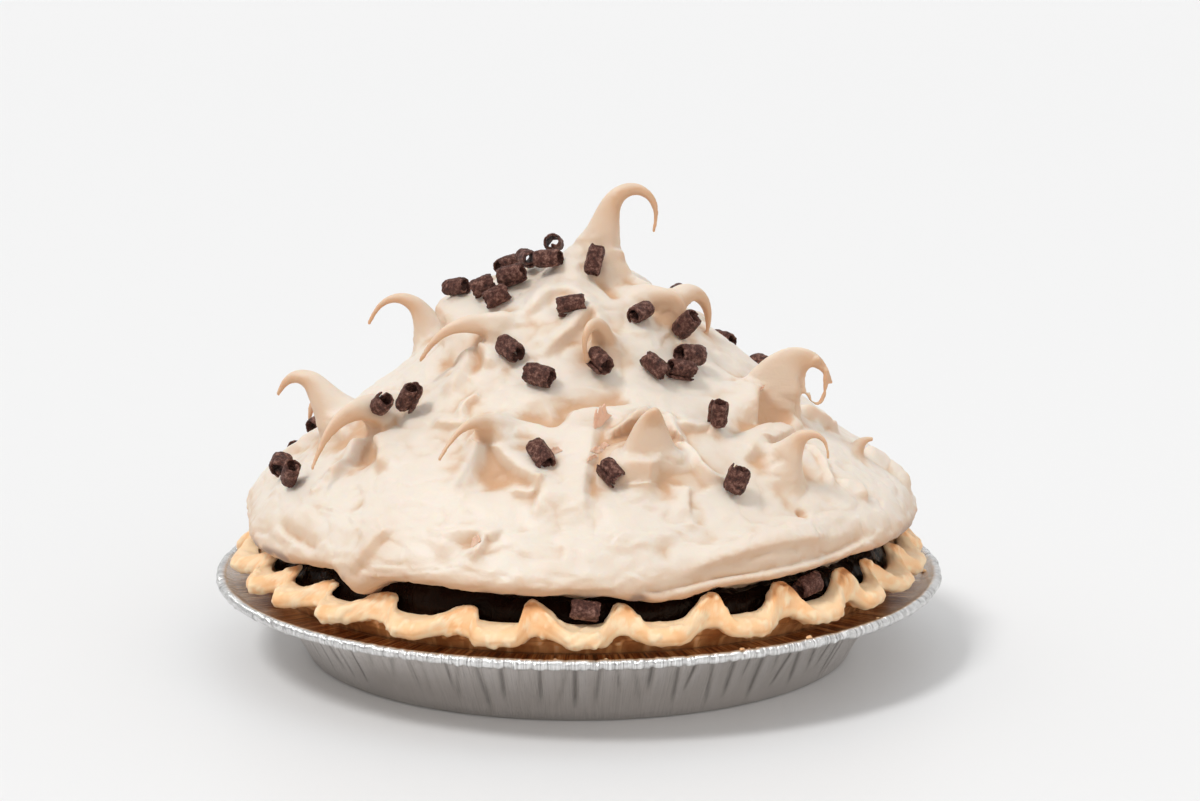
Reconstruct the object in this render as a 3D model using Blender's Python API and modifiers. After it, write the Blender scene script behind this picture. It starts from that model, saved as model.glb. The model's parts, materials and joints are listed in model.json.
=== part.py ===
"""Chocolate meringue pie in its foil tin.

A fluted foil tin holds a baked pastry case with a crimped rim. The case is filled with dark
chocolate cream, and a tall mound of meringue stands on the cream, pulled up into curling peaks and
scattered with small rolled chocolate curls. The pie is whole, so each layer is solid.

Metres, +Z up. The origin is on the table, at the middle of the tin. Azimuth 0 is the side of the
pie that faces -Y, and 90 degrees is +X.
"""

import math
import random

import bmesh
import bpy
import numpy as np
from mathutils import Matrix, Vector
from mathutils.bvhtree import BVHTree

MM = 0.001
NAME = "chocolate_meringue_pie"

# Driving dimensions, in metres
GAP = 0.3 * MM                 # air left between neighbouring pieces
RIM_RADIUS = 122.5 * MM        # outside of the tin's rolled bead
BASE_RADIUS = 92.0 * MM        # foot of the tin's wall
WALL_TOP_RADIUS = 106.0 * MM   # where the wall turns out into the flange
FLANGE_HEIGHT = 25.4 * MM
BEAD_RADIUS = 1.7 * MM
FOIL = 0.5 * MM
PLEAT_DEPTH = 0.35 * MM

PASTRY = 3.6 * MM              # thickness of the case's floor and wall
RIBBON = 4.8 * MM              # thickness of the rim's ribbon of dough
RIM_OUTER = 116.4 * MM         # the ribbon's outer edge between two crimps
RIM_HOVER = 4.4 * MM           # air between the ribbon's outer edge and the flange
CRIMP_LIFT = 7.6 * MM          # how far the ribbon rises at a crimp
CRIMP_PULL = 6.4 * MM          # how far it is drawn in there
CRIMP_COUNT = 27

CREAM_LEVEL = 36.0 * MM
CREAM_SWELL = 0.9 * MM

SKIRT_RADIUS = 105.0 * MM      # the meringue's lower edge, which overhangs the cream
SKIRT_HEIGHT = 42.0 * MM
MOUND_FOOT = 95.0 * MM         # how far out the meringue lies on the cream

CURL_LENGTH = 8.5 * MM
CURL_RADIUS = 3.35 * MM
CURL_WALL = 1.2 * MM
CURL_SIDES = 6
SETTLE_STEP = 0.15 * MM
SETTLE_TRIES = 80

# Faces round each turned layer
TIN_STEPS = 96
CRIMP_STEPS = 7
CREAM_STEPS = 60
MOUND_STEPS = 60


def polar(radius, azimuth, height):
    """A point at an azimuth in degrees."""
    turn = math.radians(azimuth)
    return Vector((radius * math.sin(turn), -radius * math.cos(turn), height))


def smooth(value):
    """Ease from 0 to 1."""
    value = min(max(value, 0.0), 1.0)
    return value * value * (3.0 - 2.0 * value)


def bump(distance, width):
    """A soft hump, 1 at distance 0."""
    return math.exp(-(distance / width) ** 2)


def apart(azimuth, other):
    """Signed angle between two azimuths, in degrees."""
    return (azimuth - other + 180.0) % 360.0 - 180.0


def through(points, count):
    """Evenly spread points on a smooth curve through the given ones."""
    points = [Vector(point) for point in points]
    ends = [2 * points[0] - points[1]] + points + [2 * points[-1] - points[-2]]
    fine = []
    for a, b, c, d in zip(ends, ends[1:], ends[2:], ends[3:]):
        for step in range(16):
            t = step / 16
            fine.append(0.5 * (2 * b + (c - a) * t + (2 * a - 5 * b + 4 * c - d) * t ** 2
                               + (3 * b - a - 3 * c + d) * t ** 3))
    fine.append(points[-1])
    along = [0.0]
    for a, b in zip(fine, fine[1:]):
        along.append(along[-1] + (b - a).length)
    wanted = np.linspace(0.0, along[-1], count)
    columns = [np.interp(wanted, along, [point[axis] for point in fine]) for axis in range(3)]
    return [Vector(point) for point in zip(*columns)]


def material(name, colour, roughness, metallic=0.0):
    made = bpy.data.materials.new(name)
    made.use_nodes = True
    shader = made.node_tree.nodes["Principled BSDF"]
    shader.inputs["Base Color"].default_value = (*colour, 1.0)
    shader.inputs["Roughness"].default_value = roughness
    shader.inputs["Metallic"].default_value = metallic
    return made


def add_object(name, mesh, home, finish=None):
    made = bpy.data.objects.new(name, mesh)
    home.objects.link(made)
    if finish:
        mesh.materials.clear()
        mesh.materials.append(finish)
    return made


def turned(name, profile, steps, home, finish):
    """A solid turned from a profile that runs from the axis out, over the top and down."""
    mesh = bpy.data.meshes.new(name)
    points = [(radius, 0.0, height) for radius, height in profile]
    edges = [(row, row + 1) for row in range(len(points) - 1)]
    mesh.from_pydata(points, edges, [])
    made = add_object(name, mesh, home)
    screw = made.modifiers.new("turn", "SCREW")
    screw.steps = steps
    screw.render_steps = steps
    screw.use_merge_vertices = True
    screw.merge_threshold = 0.0001 * MM
    return frozen(made, finish)


def frozen(source, finish):
    """The evaluated shape as a plain mesh, in place of its source object."""
    bpy.context.view_layer.update()
    seen = source.evaluated_get(bpy.context.evaluated_depsgraph_get())
    mesh = bpy.data.meshes.new_from_object(seen)
    name, home = source.name, source.users_collection[0]
    bpy.data.objects.remove(source)
    made = add_object(name, mesh, home, finish)
    made.name = name
    work = bmesh.new()
    work.from_mesh(mesh)
    bmesh.ops.remove_doubles(work, verts=work.verts, dist=0.0005 * MM)
    bmesh.ops.recalc_face_normals(work, faces=work.faces)
    work.to_mesh(mesh)
    work.free()
    return made


def reshape(made, rule):
    """Move each vertex by a rule on its radius, azimuth and height."""
    for vertex in made.data.vertices:
        x, y, height = vertex.co
        radius = math.hypot(x, y)
        if radius > MM:
            azimuth = math.degrees(math.atan2(x, -y))
            vertex.co = polar(*rule(radius, azimuth, height))
    made.data.update()


def rounded(made, crease=35.0):
    made.data.shade_smooth()
    made.data.set_sharp_from_angle(angle=math.radians(crease))
    return made


# The tin: thin pressed foil, with a pleated wall, a flat flange and a bead rolled round its edge
def make_tin(home):
    bead_centre = RIM_RADIUS - BEAD_RADIUS
    bead_height = FLANGE_HEIGHT + 1.0 * MM
    bead = []
    for turn in (155, 100, 45, 0, -75, -155):
        angle = math.radians(turn)
        bead.append((bead_centre + BEAD_RADIUS * math.cos(angle),
                     bead_height + BEAD_RADIUS * math.sin(angle)))
    profile = [(0.0, FOIL),
               (BASE_RADIUS - FOIL, FOIL),
               (WALL_TOP_RADIUS - FOIL, FLANGE_HEIGHT + FOIL / 2)]
    profile += bead
    profile += [(WALL_TOP_RADIUS, FLANGE_HEIGHT - FOIL / 2),
                (BASE_RADIUS, 0.0),
                (0.0, 0.0)]
    foil = material("foil", (0.62, 0.61, 0.60), 0.32, 1.0)
    tin = turned("foil_tin", profile, TIN_STEPS, home, foil)

    def pleat(radius, azimuth, height):
        on_wall_top = abs(radius - WALL_TOP_RADIUS) < 2 * FOIL
        step = round(azimuth / (360.0 / TIN_STEPS))
        if on_wall_top:
            radius += PLEAT_DEPTH * (1 if step % 2 else -1)
        return radius, azimuth, height

    reshape(tin, pleat)
    return rounded(tin)


# The crimps that show at the front were pinched by hand: their azimuths, and how high each stands
FRONT_CRIMPS = ((-88.0, 0.9), (-71.0, 0.7), (-60.0, 0.6), (-49.5, 0.5), (-34.6, 0.6),
                (-19.8, 0.55), (-4.6, 0.88), (7.3, 0.76), (20.3, 1.0), (34.9, 1.0),
                (48.7, 0.95), (60.5, 0.9), (72.0, 0.9), (87.0, 0.95), (98.5, 0.9))


def all_crimps():
    """Azimuth and lift of each crimp in order, with the hidden ones spread over the back."""
    chance = random.Random(27)
    hidden = CRIMP_COUNT - len(FRONT_CRIMPS)
    first, last = FRONT_CRIMPS[-1][0], FRONT_CRIMPS[0][0] + 360.0
    step = (last - first) / (hidden + 1)
    back = [(first + step * (number + 1) + chance.uniform(-1.6, 1.6), chance.uniform(0.6, 1.0))
            for number in range(hidden)]
    return list(FRONT_CRIMPS) + back


# The case: a pastry floor and wall, whose rim is a ribbon pinched up into crimps
def make_case(home):
    slope = (WALL_TOP_RADIUS - BASE_RADIUS) / FLANGE_HEIGHT
    floor = FOIL + GAP
    play = FOIL + PLEAT_DEPTH + GAP
    lip = CREAM_LEVEL - 2.2 * MM
    under = FLANGE_HEIGHT + RIM_HOVER

    def wall(height, inset):
        return BASE_RADIUS + slope * height - play - inset

    profile = [(0.0, floor + PASTRY),
               (wall(floor + PASTRY, PASTRY), floor + PASTRY),
               (wall(lip, PASTRY), lip),
               (RIM_OUTER - 8.4 * MM, under + RIBBON + 0.9 * MM),
               (RIM_OUTER - 1.4 * MM, under + RIBBON),
               (RIM_OUTER, under + RIBBON / 2),
               (RIM_OUTER - 1.2 * MM, under),
               (RIM_OUTER - 8.0 * MM, under - 0.2 * MM),
               (wall(FLANGE_HEIGHT, 0.0), FLANGE_HEIGHT + 1.2 * MM),
               (wall(floor, 0.0), floor),
               (0.0, floor)]
    pastry = material("baked_pastry", (0.68, 0.40, 0.17), 0.62)
    case = turned("pastry_case", profile, CRIMP_COUNT * CRIMP_STEPS, home, pastry)
    crimps = all_crimps()
    chance = random.Random(5)
    lean_of = [chance.uniform(-2.4, 2.4) for crimp in crimps]
    rim_start = wall(lip, PASTRY)

    def crimp(radius, azimuth, height):
        place = (azimuth % 360.0) / 360.0 * CRIMP_COUNT
        number = round(place)
        phase = place - number
        number %= CRIMP_COUNT
        here, lift = crimps[number]
        beside, other_lift = crimps[(number + (1 if phase > 0 else -1)) % CRIMP_COUNT]
        azimuth = here + abs(phase) * apart(beside, here)
        if height < FLANGE_HEIGHT + 2 * MM:
            return radius, azimuth, height
        wave = math.tanh(1.35 * (math.cos(math.tau * phase) - 0.1))
        rise = (wave - math.tanh(-1.35 * 1.1)) / (math.tanh(1.35 * 0.9) - math.tanh(-1.35 * 1.1))
        outward = smooth((radius - rim_start) / (RIM_OUTER - rim_start) * 1.5)
        bottom = 0.0
        if radius > RIM_OUTER - 9 * MM:
            bottom = smooth((under + RIBBON * 0.95 - height) / (RIBBON * 0.95))
        radius -= CRIMP_PULL * rise * outward * (1.0 - 0.45 * bottom)
        height += CRIMP_LIFT * rise * outward * lift * (1.0 - 0.58 * bottom)
        return radius, azimuth + lean_of[number] * rise * outward * (1.0 - 0.5 * bottom), height

    reshape(case, crimp)
    return rounded(case, 60.0)


# The filling: set chocolate cream that fills the case and shows as a glossy ring under the mound
def make_cream(home):
    slope = (WALL_TOP_RADIUS - BASE_RADIUS) / FLANGE_HEIGHT
    inset = FOIL + PLEAT_DEPTH + PASTRY + 2.4 * GAP
    floor = FOIL + PASTRY + 2 * GAP
    edge = CREAM_LEVEL - 2.6 * MM
    profile = [(0.0, CREAM_LEVEL),
               (MOUND_FOOT, CREAM_LEVEL),
               (MOUND_FOOT + 3.2 * MM, CREAM_LEVEL - CREAM_SWELL),
               (BASE_RADIUS + slope * edge - inset, edge),
               (BASE_RADIUS + slope * floor - inset, floor),
               (0.0, floor)]
    chocolate = material("chocolate_cream", (0.018, 0.009, 0.007), 0.2)
    cream = turned("chocolate_filling", profile, CREAM_STEPS, home, chocolate)

    def swell(radius, azimuth, height):
        turn = math.radians(azimuth)
        if edge + MM < height < CREAM_LEVEL - MM / 2:
            height += CREAM_SWELL * math.sin(9 * turn) * math.cos(4 * turn)
        return radius, azimuth, height

    reshape(cream, swell)
    return rounded(cream, 50.0)


# The mound's mean slope from its top down to its overhanging edge: radius and height, in mm
MOUND_SLOPE = ((0.0, 138.0), (13.0, 131.5), (29.0, 121.5), (40.5, 113.0), (48.0, 104.5),
               (57.5, 96.5), (71.0, 86.0), (85.0, 75.5), (98.0, 65.0), (107.0, 56.0),
               (111.6, 48.5), (110.4, 44.8))
MOUND_RINGS = 17

# Where the mound stands out from a turned shape or is pressed in, all in mm and degrees: azimuth,
# height, amount, spread round it and spread up it
SWELLS = ((90.0, 58.0, 3.6, 30.0, 8.0),      # the flap at the right
          (92.0, 45.0, 3.4, 16.0, 6.0),
          (-90.0, 117.0, 11.0, 24.0, 7.0),    # the shoulder at the upper left
          (90.0, 116.0, -6.0, 26.0, 9.0),
          (-20.0, 92.0, 2.0, 22.0, 12.0),
          (40.0, 84.0, 2.5, 20.0, 10.0),
          (175.0, 78.0, 3.0, 40.0, 14.0),
          (-135.0, 62.0, 3.0, 22.0, 10.0),
          (140.0, 100.0, 2.5, 20.0, 10.0))

# Where the meringue's lower edge hangs down or lifts: azimuth, amount, spread
DRIPS = ((-39.5, -4.4, 3.6), (13.5, -3.0, 7.5), (-24.0, 2.0, 9.0), (55.0, 1.6, 12.0),
         (160.0, -2.4, 3.6), (-150.0, 1.5, 10.0), (118.0, 1.2, 8.0), (-112.0, -2.0, 4.0))


def mound_profile():
    rings = through([(radius * MM, height * MM, 0.0) for radius, height in MOUND_SLOPE], MOUND_RINGS)
    outline = [(ring.x, ring.y) for ring in rings]
    return outline + [(SKIRT_RADIUS, SKIRT_HEIGHT),
                      (MOUND_FOOT, CREAM_LEVEL + GAP),
                      (0.0, CREAM_LEVEL + GAP)]


def mound_rule(radius, azimuth, height):
    """The mound's uneven swells, its drips and the shallow strokes of a spoon."""
    if height < CREAM_LEVEL + 2 * GAP:
        return radius, azimuth, height
    for where, level, amount, spread, rise in SWELLS:
        weight = bump(apart(azimuth, where), spread) * bump(height / MM - level, rise)
        radius += amount * MM * weight
    low = smooth((60.0 * MM - height) / (16.0 * MM))
    for where, amount, spread in DRIPS:
        height += amount * MM * low * bump(apart(azimuth, where), spread)
    turn = math.radians(azimuth)
    stroke = math.sin(5 * turn + height * 60.0) + 0.7 * math.sin(11 * turn - height * 95.0)
    radius += 0.8 * MM * stroke * smooth((radius - 12 * MM) / (30 * MM))
    return radius, azimuth, height


# The pulled peaks that show in front, then the ones at the back. Each has the azimuth and height
# (in mm) of its foot, the azimuth that it curls over to, the slope of its start above level, how
# far it turns over, its length, the width of its foot along and across the curl, how hollow it is
# on the side that it curls to, how far along it the bend starts, and how fast it thins.
PEAKS = {
    "top": (30, 132.4, 94, 77, 178, 46.6, 18, 17, 0.15, 0.31, 1.7),
    "upper_left": (-116, 98, -94, 71, 135, 36.0, 15, 15, 0.3, 0.18, 1.45),
    "left_middle": (-38, 112.6, -78, 14, 72, 31.0, 12, 13, 0.6, 0.05, 1.6),
    "far_left": (-77, 78.8, -96, 55, 118, 32.0, 18, 20, 0.15, 0.4, 1.3),
    "left_front": (-59, 85, -45, 30, 92, 39.0, 13, 16, 0.7, -0.12, 1.7),
    "centre_left": (-20.4, 86, -38, 45, 90, 30.7, 11, 13, 0.7, -0.19, 1.7),
    "centre_front": (20, 79, 25, 84, 50, 21.0, 13, 26, 0.3, 0.55, 1.5),
    "right_wave": (65.5, 86.3, 94, 74, 139, 33.0, 20, 16, 0.6, 0.21, 1.9),
    "right_front": (47.5, 72.4, 75, 66, 153, 26.0, 15, 14, 0.6, 0.3, 1.6),
    "upper_right": (44, 120.6, 83, 10, 138, 21.8, 10, 11, 0.5, 0.08, 1.5),
    "upper_right_back": (62, 116.0, 124, 57, 153, 30.0, 10, 12, 0.4, -0.09, 1.3),
    "upper_centre": (11.4, 107.5, -32, 69, 189, 39.0, 10, 9, 0.4, 0.12, 1.3),
    "right_tick": (80, 69, 90, 60, 60, 8.0, 6, 6, 0.1, 0.2, 1.3),
    "back_top": (-166, 106, -140, 62, 155, 33.0, 14, 14, 0.3, 0.2, 1.6),
    "back_high": (156, 98, 150, 60, 150, 31.0, 15, 14, 0.4, 0.15, 1.6),
    "back_left": (-146, 82, -125, 55, 145, 33.0, 16, 17, 0.5, 0.15, 1.6),
    "back_right": (141, 70, 125, 55, 140, 32.0, 16, 17, 0.5, 0.15, 1.6),
    "back_middle": (-178, 76, -155, 55, 140, 33.0, 17, 17, 0.5, 0.2, 1.6),
    "back_low_left": (-126, 62, -112, 55, 140, 25.0, 16, 15, 0.4, 0.2, 1.6),
    "back_low_right": (150, 58, 132, 55, 140, 27.0, 16, 15, 0.4, 0.2, 1.6),
    "back_low": (-162, 58, -140, 60, 120, 23.0, 17, 15, 0.3, 0.3, 1.6),
}

PEAK_RINGS = 9
PEAK_SIDES = 8
PEAK_ROOT = 11.0 * MM     # how far back a peak's root runs under the mound's surface
PEAK_TIP = 0.5 * MM


def peak_spine(foot, heading, start, turn, length, bend_from, count):
    """Points and directions along a peak, which rises and then curls over like a wave."""
    ahead = polar(1.0, heading, 0.0)
    point = foot.copy()
    points, directions = [], []
    step = length / (count - 1)
    for number in range(count):
        along = number / (count - 1)
        angle = math.radians(start - turn * smooth((along - bend_from) / (0.97 - bend_from)))
        direction = ahead * math.cos(angle) + Vector((0.0, 0.0, math.sin(angle)))
        points.append(point.copy())
        directions.append(direction)
        point += direction * step
    return points, directions


def peak_rings(foot, outward, values):
    """Sections of a peak: a broad root in the mound, a hollowed leaf, and a thin round tip."""
    heading, start, turn, length, width, breadth, hollow, bend_from, thins = values
    fine = 4 * (PEAK_RINGS - 1) + 1
    points, directions = peak_spine(foot, heading, start, turn, length * MM, bend_from, fine)
    across = Vector((0.0, 0.0, 1.0)).cross(polar(1.0, heading, 0.0))
    root = points[0] - directions[0] * PEAK_ROOT - outward * 0.75 * width * MM
    stations = [(root, directions[0], 1.0)]
    for ring in range(PEAK_RINGS):
        along = ring / (PEAK_RINGS - 1)
        taper = 0.85 * (1.0 - along) ** thins
        flare = 0.5 * bump(along, 0.16) * math.sin(math.radians(start))
        centre = points[4 * ring] - outward * flare * width / 2 * MM
        stations.append((centre, directions[4 * ring], taper + flare))
    rings = []
    for centre, direction, taper in stations:
        inside = across.cross(direction)
        half_width = width / 2 * MM * taper + PEAK_TIP
        half_breadth = breadth / 2 * MM * taper + PEAK_TIP
        loop = []
        for side in range(PEAK_SIDES):
            angle = math.tau * side / PEAK_SIDES
            sideways, depth = math.cos(angle), math.sin(angle)
            bite = hollow * half_width * (sideways ** 2 - 0.5)
            loop.append(centre + across * sideways * half_breadth
                        - inside * (depth * half_width - bite))
        rings.append(loop)
    return rings


def loft(name, rings, home):
    """A closed solid through rings of points that have the same number of sides."""
    sides = len(rings[0])
    points = [point for ring in rings for point in ring]
    faces = []
    for row in range(len(rings) - 1):
        for side in range(sides):
            low, high = row * sides, (row + 1) * sides
            beside = (side + 1) % sides
            faces.append((low + side, low + beside, high + beside, high + side))
    faces.append(tuple(range(sides - 1, -1, -1)))
    faces.append(tuple(range(len(points) - sides, len(points))))
    mesh = bpy.data.meshes.new(name)
    mesh.from_pydata(points, [], faces)
    made = add_object(name, mesh, home)
    work = bmesh.new()
    work.from_mesh(mesh)
    bmesh.ops.recalc_face_normals(work, faces=work.faces)
    work.to_mesh(mesh)
    work.free()
    return made


def surface_of(made):
    work = bmesh.new()
    work.from_mesh(made.data)
    bmesh.ops.triangulate(work, faces=work.faces)
    tree = BVHTree.FromBMesh(work)
    work.free()
    return tree


def place_on(surface, azimuth, height):
    """Where a level line towards the axis meets the surface, and the surface's direction there."""
    start = polar(0.3, azimuth, height * MM)
    towards = polar(-1.0, azimuth, 0.0)
    point, normal = surface.ray_cast(start, towards)[:2]
    return point, normal


# The meringue: one mound, spread to the rim and pulled up into peaks, all fused into one body
def make_meringue(home, cutters):
    toasted = material("meringue", (0.86, 0.76, 0.64), 0.55)
    mound = turned("meringue", mound_profile(), MOUND_STEPS, home, toasted)
    reshape(mound, mound_rule)
    slope = surface_of(mound)
    for name, (azimuth, height, *values) in PEAKS.items():
        foot, outward = place_on(slope, azimuth, height)
        loft("peak_" + name, peak_rings(foot, outward, values), cutters)
    join = mound.modifiers.new("peaks", "BOOLEAN")
    join.operation = "UNION"
    join.operand_type = "COLLECTION"
    join.collection = cutters
    join.solver = "EXACT"
    meringue = frozen(mound, toasted)
    for cutter in list(cutters.objects):
        bpy.data.objects.remove(cutter)
    return rounded(meringue, 50.0), slope


# The chocolate curls that show in front: azimuth, radius and height (in mm) where each lies, how its
# axis is rolled round from level as seen from outside, and how far it stands up from the surface
CURLS = (
    (-84, 39.5, 119, 30, 0), (-66, 33, 121.3, 65, 0), (-52, 32.8, 119.5, 50, 0),
    (-100, 23, 126, -25, 0), (-57, 24.7, 124.8, 35, 0), (-72, 15.5, 128, 0, 0),
    (-34, 15.8, 129.8, 15, 0), (-135, 10, 132.5, 40, 0), (19, 19, 132.8, 80, 0),
    (-3, 33.5, 118.8, 15, 0), (-27, 46.6, 105.9, -35, 0), (-12, 55, 99.2, -15, 0),
    (7, 50.5, 102.6, -60, 15), (32, 36.7, 116.1, 20, 0), (52, 41.5, 110, 0, 80),
    (26.3, 52.7, 101.4, -60, 0), (36, 54.2, 99.3, -20, 0), (44, 49.6, 102.5, -12, 0),
    (98, 35, 119, 10, 0), (128, 60, 93, 5, 0), (118, 70, 86, 20, 0),
    (36, 72.9, 86.3, 90, 65), (31, 92.2, 70.1, 60, 60), (7, 85.6, 74.7, -60, 0),
    (-8, 79.2, 79.6, -60, 0), (-55, 78.8, 90.3, 90, 75), (-53, 72, 90.2, 90, 65),
    (-128, 46, 102, 40, 0), (-113, 103, 52, 50, 0), (-65, 98.8, 63.6, 40, 35),
    (-77, 98, 63, -30, 0), (-118, 99, 60, -20, 0), (-130, 66, 81, 40, 0))

# Two more have dropped into dips of the rim, in front of the mound: azimuth, radius, height, roll
FALLEN_CURLS = ((1.4, 103.6, 40.5, -8), (42.2, 104.0, 40.0, 8))

# Curls scattered over the back, which the photograph hides: how many, and the heights they span
HIDDEN_CURLS = 12
HIDDEN_LOW = 62.0
HIDDEN_HIGH = 116.0


def hidden_curls(slope):
    chance = random.Random(11)
    placed = []
    for number in range(HIDDEN_CURLS):
        height = HIDDEN_LOW + (HIDDEN_HIGH - HIDDEN_LOW) * (number + 0.5) / HIDDEN_CURLS
        azimuth = 180.0 + ((number * 0.618) % 1.0 - 0.5) * 90.0
        point, outward = place_on(slope, azimuth, height)
        radius = math.hypot(point.x, point.y) / MM
        stand = chance.choice((0, 0, 35, 65))
        placed.append((azimuth, radius, height, chance.uniform(-80, 80), stand))
    return placed


def curl_guide():
    """A thin shaving rolled into a short open tube, 330 degrees round and tighter inside."""
    outline = bpy.data.curves.new("curl", "CURVE")
    outline.dimensions = "2D"
    outline.fill_mode = "BOTH"
    outline.extrude = CURL_LENGTH / 2
    spline = outline.splines.new("POLY")
    outer, inner = [], []
    for side in range(CURL_SIDES):
        along = side / (CURL_SIDES - 1)
        angle = math.radians(330.0 * along)
        radius = CURL_RADIUS * (1.0 - 0.12 * along)
        outer.append((radius * math.cos(angle), radius * math.sin(angle)))
        radius -= CURL_WALL
        inner.append((radius * math.cos(angle), radius * math.sin(angle)))
    points = outer + inner[::-1]
    spline.points.add(len(points) - 1)
    for point, (x, y) in zip(spline.points, points):
        point.co = (x, y, 0.0, 1.0)
    spline.use_cyclic_u = True
    guide = bpy.data.objects.new("curl", outline)
    bpy.context.scene.collection.objects.link(guide)
    return guide


def settle(curl, direction, ground):
    """Lift a curl off the surface until it, made a little larger, no longer cuts the meringue."""
    grown = Matrix.Scale(1.0 + GAP / CURL_RADIUS, 4)
    for attempt in range(SETTLE_TRIES):
        work = bmesh.new()
        work.from_mesh(curl.data)
        work.transform(curl.matrix_world @ grown)
        clear = not BVHTree.FromBMesh(work).overlap(ground)
        work.free()
        if clear:
            break
        curl.location += direction * SETTLE_STEP
        bpy.context.view_layer.update()


def add_curl(name, shape, home, centre, outward, roll, stand, chance):
    """A copy of the curl, with its axis rolled round the surface and stood up from it."""
    level = Vector((0.0, 0.0, 1.0)).cross(outward).normalized()
    upslope = outward.cross(level)
    lying = level * math.cos(math.radians(roll)) + upslope * math.sin(math.radians(roll))
    axis = lying * math.cos(math.radians(stand)) + outward * math.sin(math.radians(stand))
    curl = bpy.data.objects.new(name, shape)
    home.objects.link(curl)
    size = chance.uniform(0.88, 1.06)
    turn = axis.to_track_quat("Z", "Y").to_matrix().to_4x4()
    spin = Matrix.Rotation(chance.uniform(0.0, math.tau), 4, "Z")
    scale = Matrix.Diagonal((size, size, chance.uniform(0.9, 1.12), 1.0))
    curl.matrix_world = Matrix.Translation(centre) @ turn @ spin @ scale
    bpy.context.view_layer.update()
    return curl


def make_curls(home, slope, ground):
    shaving = material("chocolate_curl", (0.035, 0.017, 0.013), 0.6)
    guide = frozen(curl_guide(), shaving)
    shape = guide.data
    bpy.data.objects.remove(guide)
    chance = random.Random(3)
    number = 0
    for azimuth, radius, height, roll, stand in list(CURLS) + hidden_curls(slope):
        number += 1
        wanted = polar(radius * MM, azimuth, height * MM)
        place, outward = ground.find_nearest(wanted)[:2]
        curl = add_curl(f"chocolate_curl_{number:02d}", shape, home,
                        place + outward * 0.6 * CURL_RADIUS, outward, roll, stand, chance)
        settle(curl, outward, ground)
    for azimuth, radius, height, roll in FALLEN_CURLS:
        number += 1
        outward = polar(1.0, azimuth, 0.0)
        curl = add_curl(f"chocolate_curl_{number:02d}", shape, home,
                        polar(radius * MM, azimuth, height * MM), outward, roll, 0, chance)
        settle(curl, outward, ground)


def remove_everything():
    for item in list(bpy.data.objects):
        bpy.data.objects.remove(item)


def main():
    remove_everything()
    home = bpy.data.collections.new(NAME)
    cutters = bpy.data.collections.new("peaks")
    bpy.context.scene.collection.children.link(home)
    bpy.context.scene.collection.children.link(cutters)
    make_tin(home)
    make_case(home)
    make_cream(home)
    meringue, slope = make_meringue(home, cutters)
    make_curls(home, slope, surface_of(meringue))


main()
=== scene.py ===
"""Looks of the chocolate meringue pie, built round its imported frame.

The file follows the pie as it is put together: the foil tin, the pastry case, the chocolate
cream, the meringue, the chocolate curls, the flakes and crumbs, and then the table, lights and
camera. The scene is in metres, +Z up, and the sizes below are in mm and degrees. Azimuth 0 is the
side of the pie that faces the camera, and 90 is +X.
"""

import json
import math
import random

import bpy
import numpy as np
from mathutils import Matrix, Vector
from mathutils.bvhtree import BVHTree

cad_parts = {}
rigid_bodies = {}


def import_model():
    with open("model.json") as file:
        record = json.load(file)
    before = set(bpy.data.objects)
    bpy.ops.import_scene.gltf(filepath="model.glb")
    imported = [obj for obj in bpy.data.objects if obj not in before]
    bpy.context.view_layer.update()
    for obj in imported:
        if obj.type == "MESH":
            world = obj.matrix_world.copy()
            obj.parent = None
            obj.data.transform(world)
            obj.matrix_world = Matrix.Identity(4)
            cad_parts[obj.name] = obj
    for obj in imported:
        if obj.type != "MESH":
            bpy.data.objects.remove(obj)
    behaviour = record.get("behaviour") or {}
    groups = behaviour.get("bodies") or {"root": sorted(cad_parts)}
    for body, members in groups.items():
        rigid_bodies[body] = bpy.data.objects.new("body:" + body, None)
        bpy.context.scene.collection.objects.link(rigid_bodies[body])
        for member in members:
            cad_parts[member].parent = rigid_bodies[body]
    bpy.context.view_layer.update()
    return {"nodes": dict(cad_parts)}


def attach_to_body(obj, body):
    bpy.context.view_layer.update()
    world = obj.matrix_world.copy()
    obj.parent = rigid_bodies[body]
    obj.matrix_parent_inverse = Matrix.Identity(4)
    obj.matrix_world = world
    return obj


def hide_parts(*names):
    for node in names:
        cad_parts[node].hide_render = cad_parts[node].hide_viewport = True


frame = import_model()
bpy.ops.object.select_all(action="DESELECT")
MM = 0.001


# The foil tin is pressed from thin aluminium sheet. Its wall is creased where the sheet gathered,
# its flange is finely ribbed, and the edge is rolled over into a crinkled bead.
TIN_BASE = 92.0
TIN_WALL_TOP = 106.0
TIN_FLANGE = 25.4
TIN_RIM = 122.5
TIN_BEAD = 1.7
TIN_FOIL = 0.5
TIN_ROUND = 1440
TIN_CREASES = 104
BEAD_DENTS = 820
FLANGE_RIBS = 260
FOIL_COLOUR = (0.80, 0.79, 0.78)
# Painted shade: the wall is drawn darker and warmer than the rest of the foil, for the shaded table that it
# reflects
SHADED_WALL_COLOUR = (0.72, 0.68, 0.65)


def face_outwards():
    bpy.ops.mesh.select_all(action="SELECT")
    bpy.ops.mesh.normals_make_consistent(inside=False)
    bpy.ops.object.mode_set(mode="OBJECT")


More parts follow.
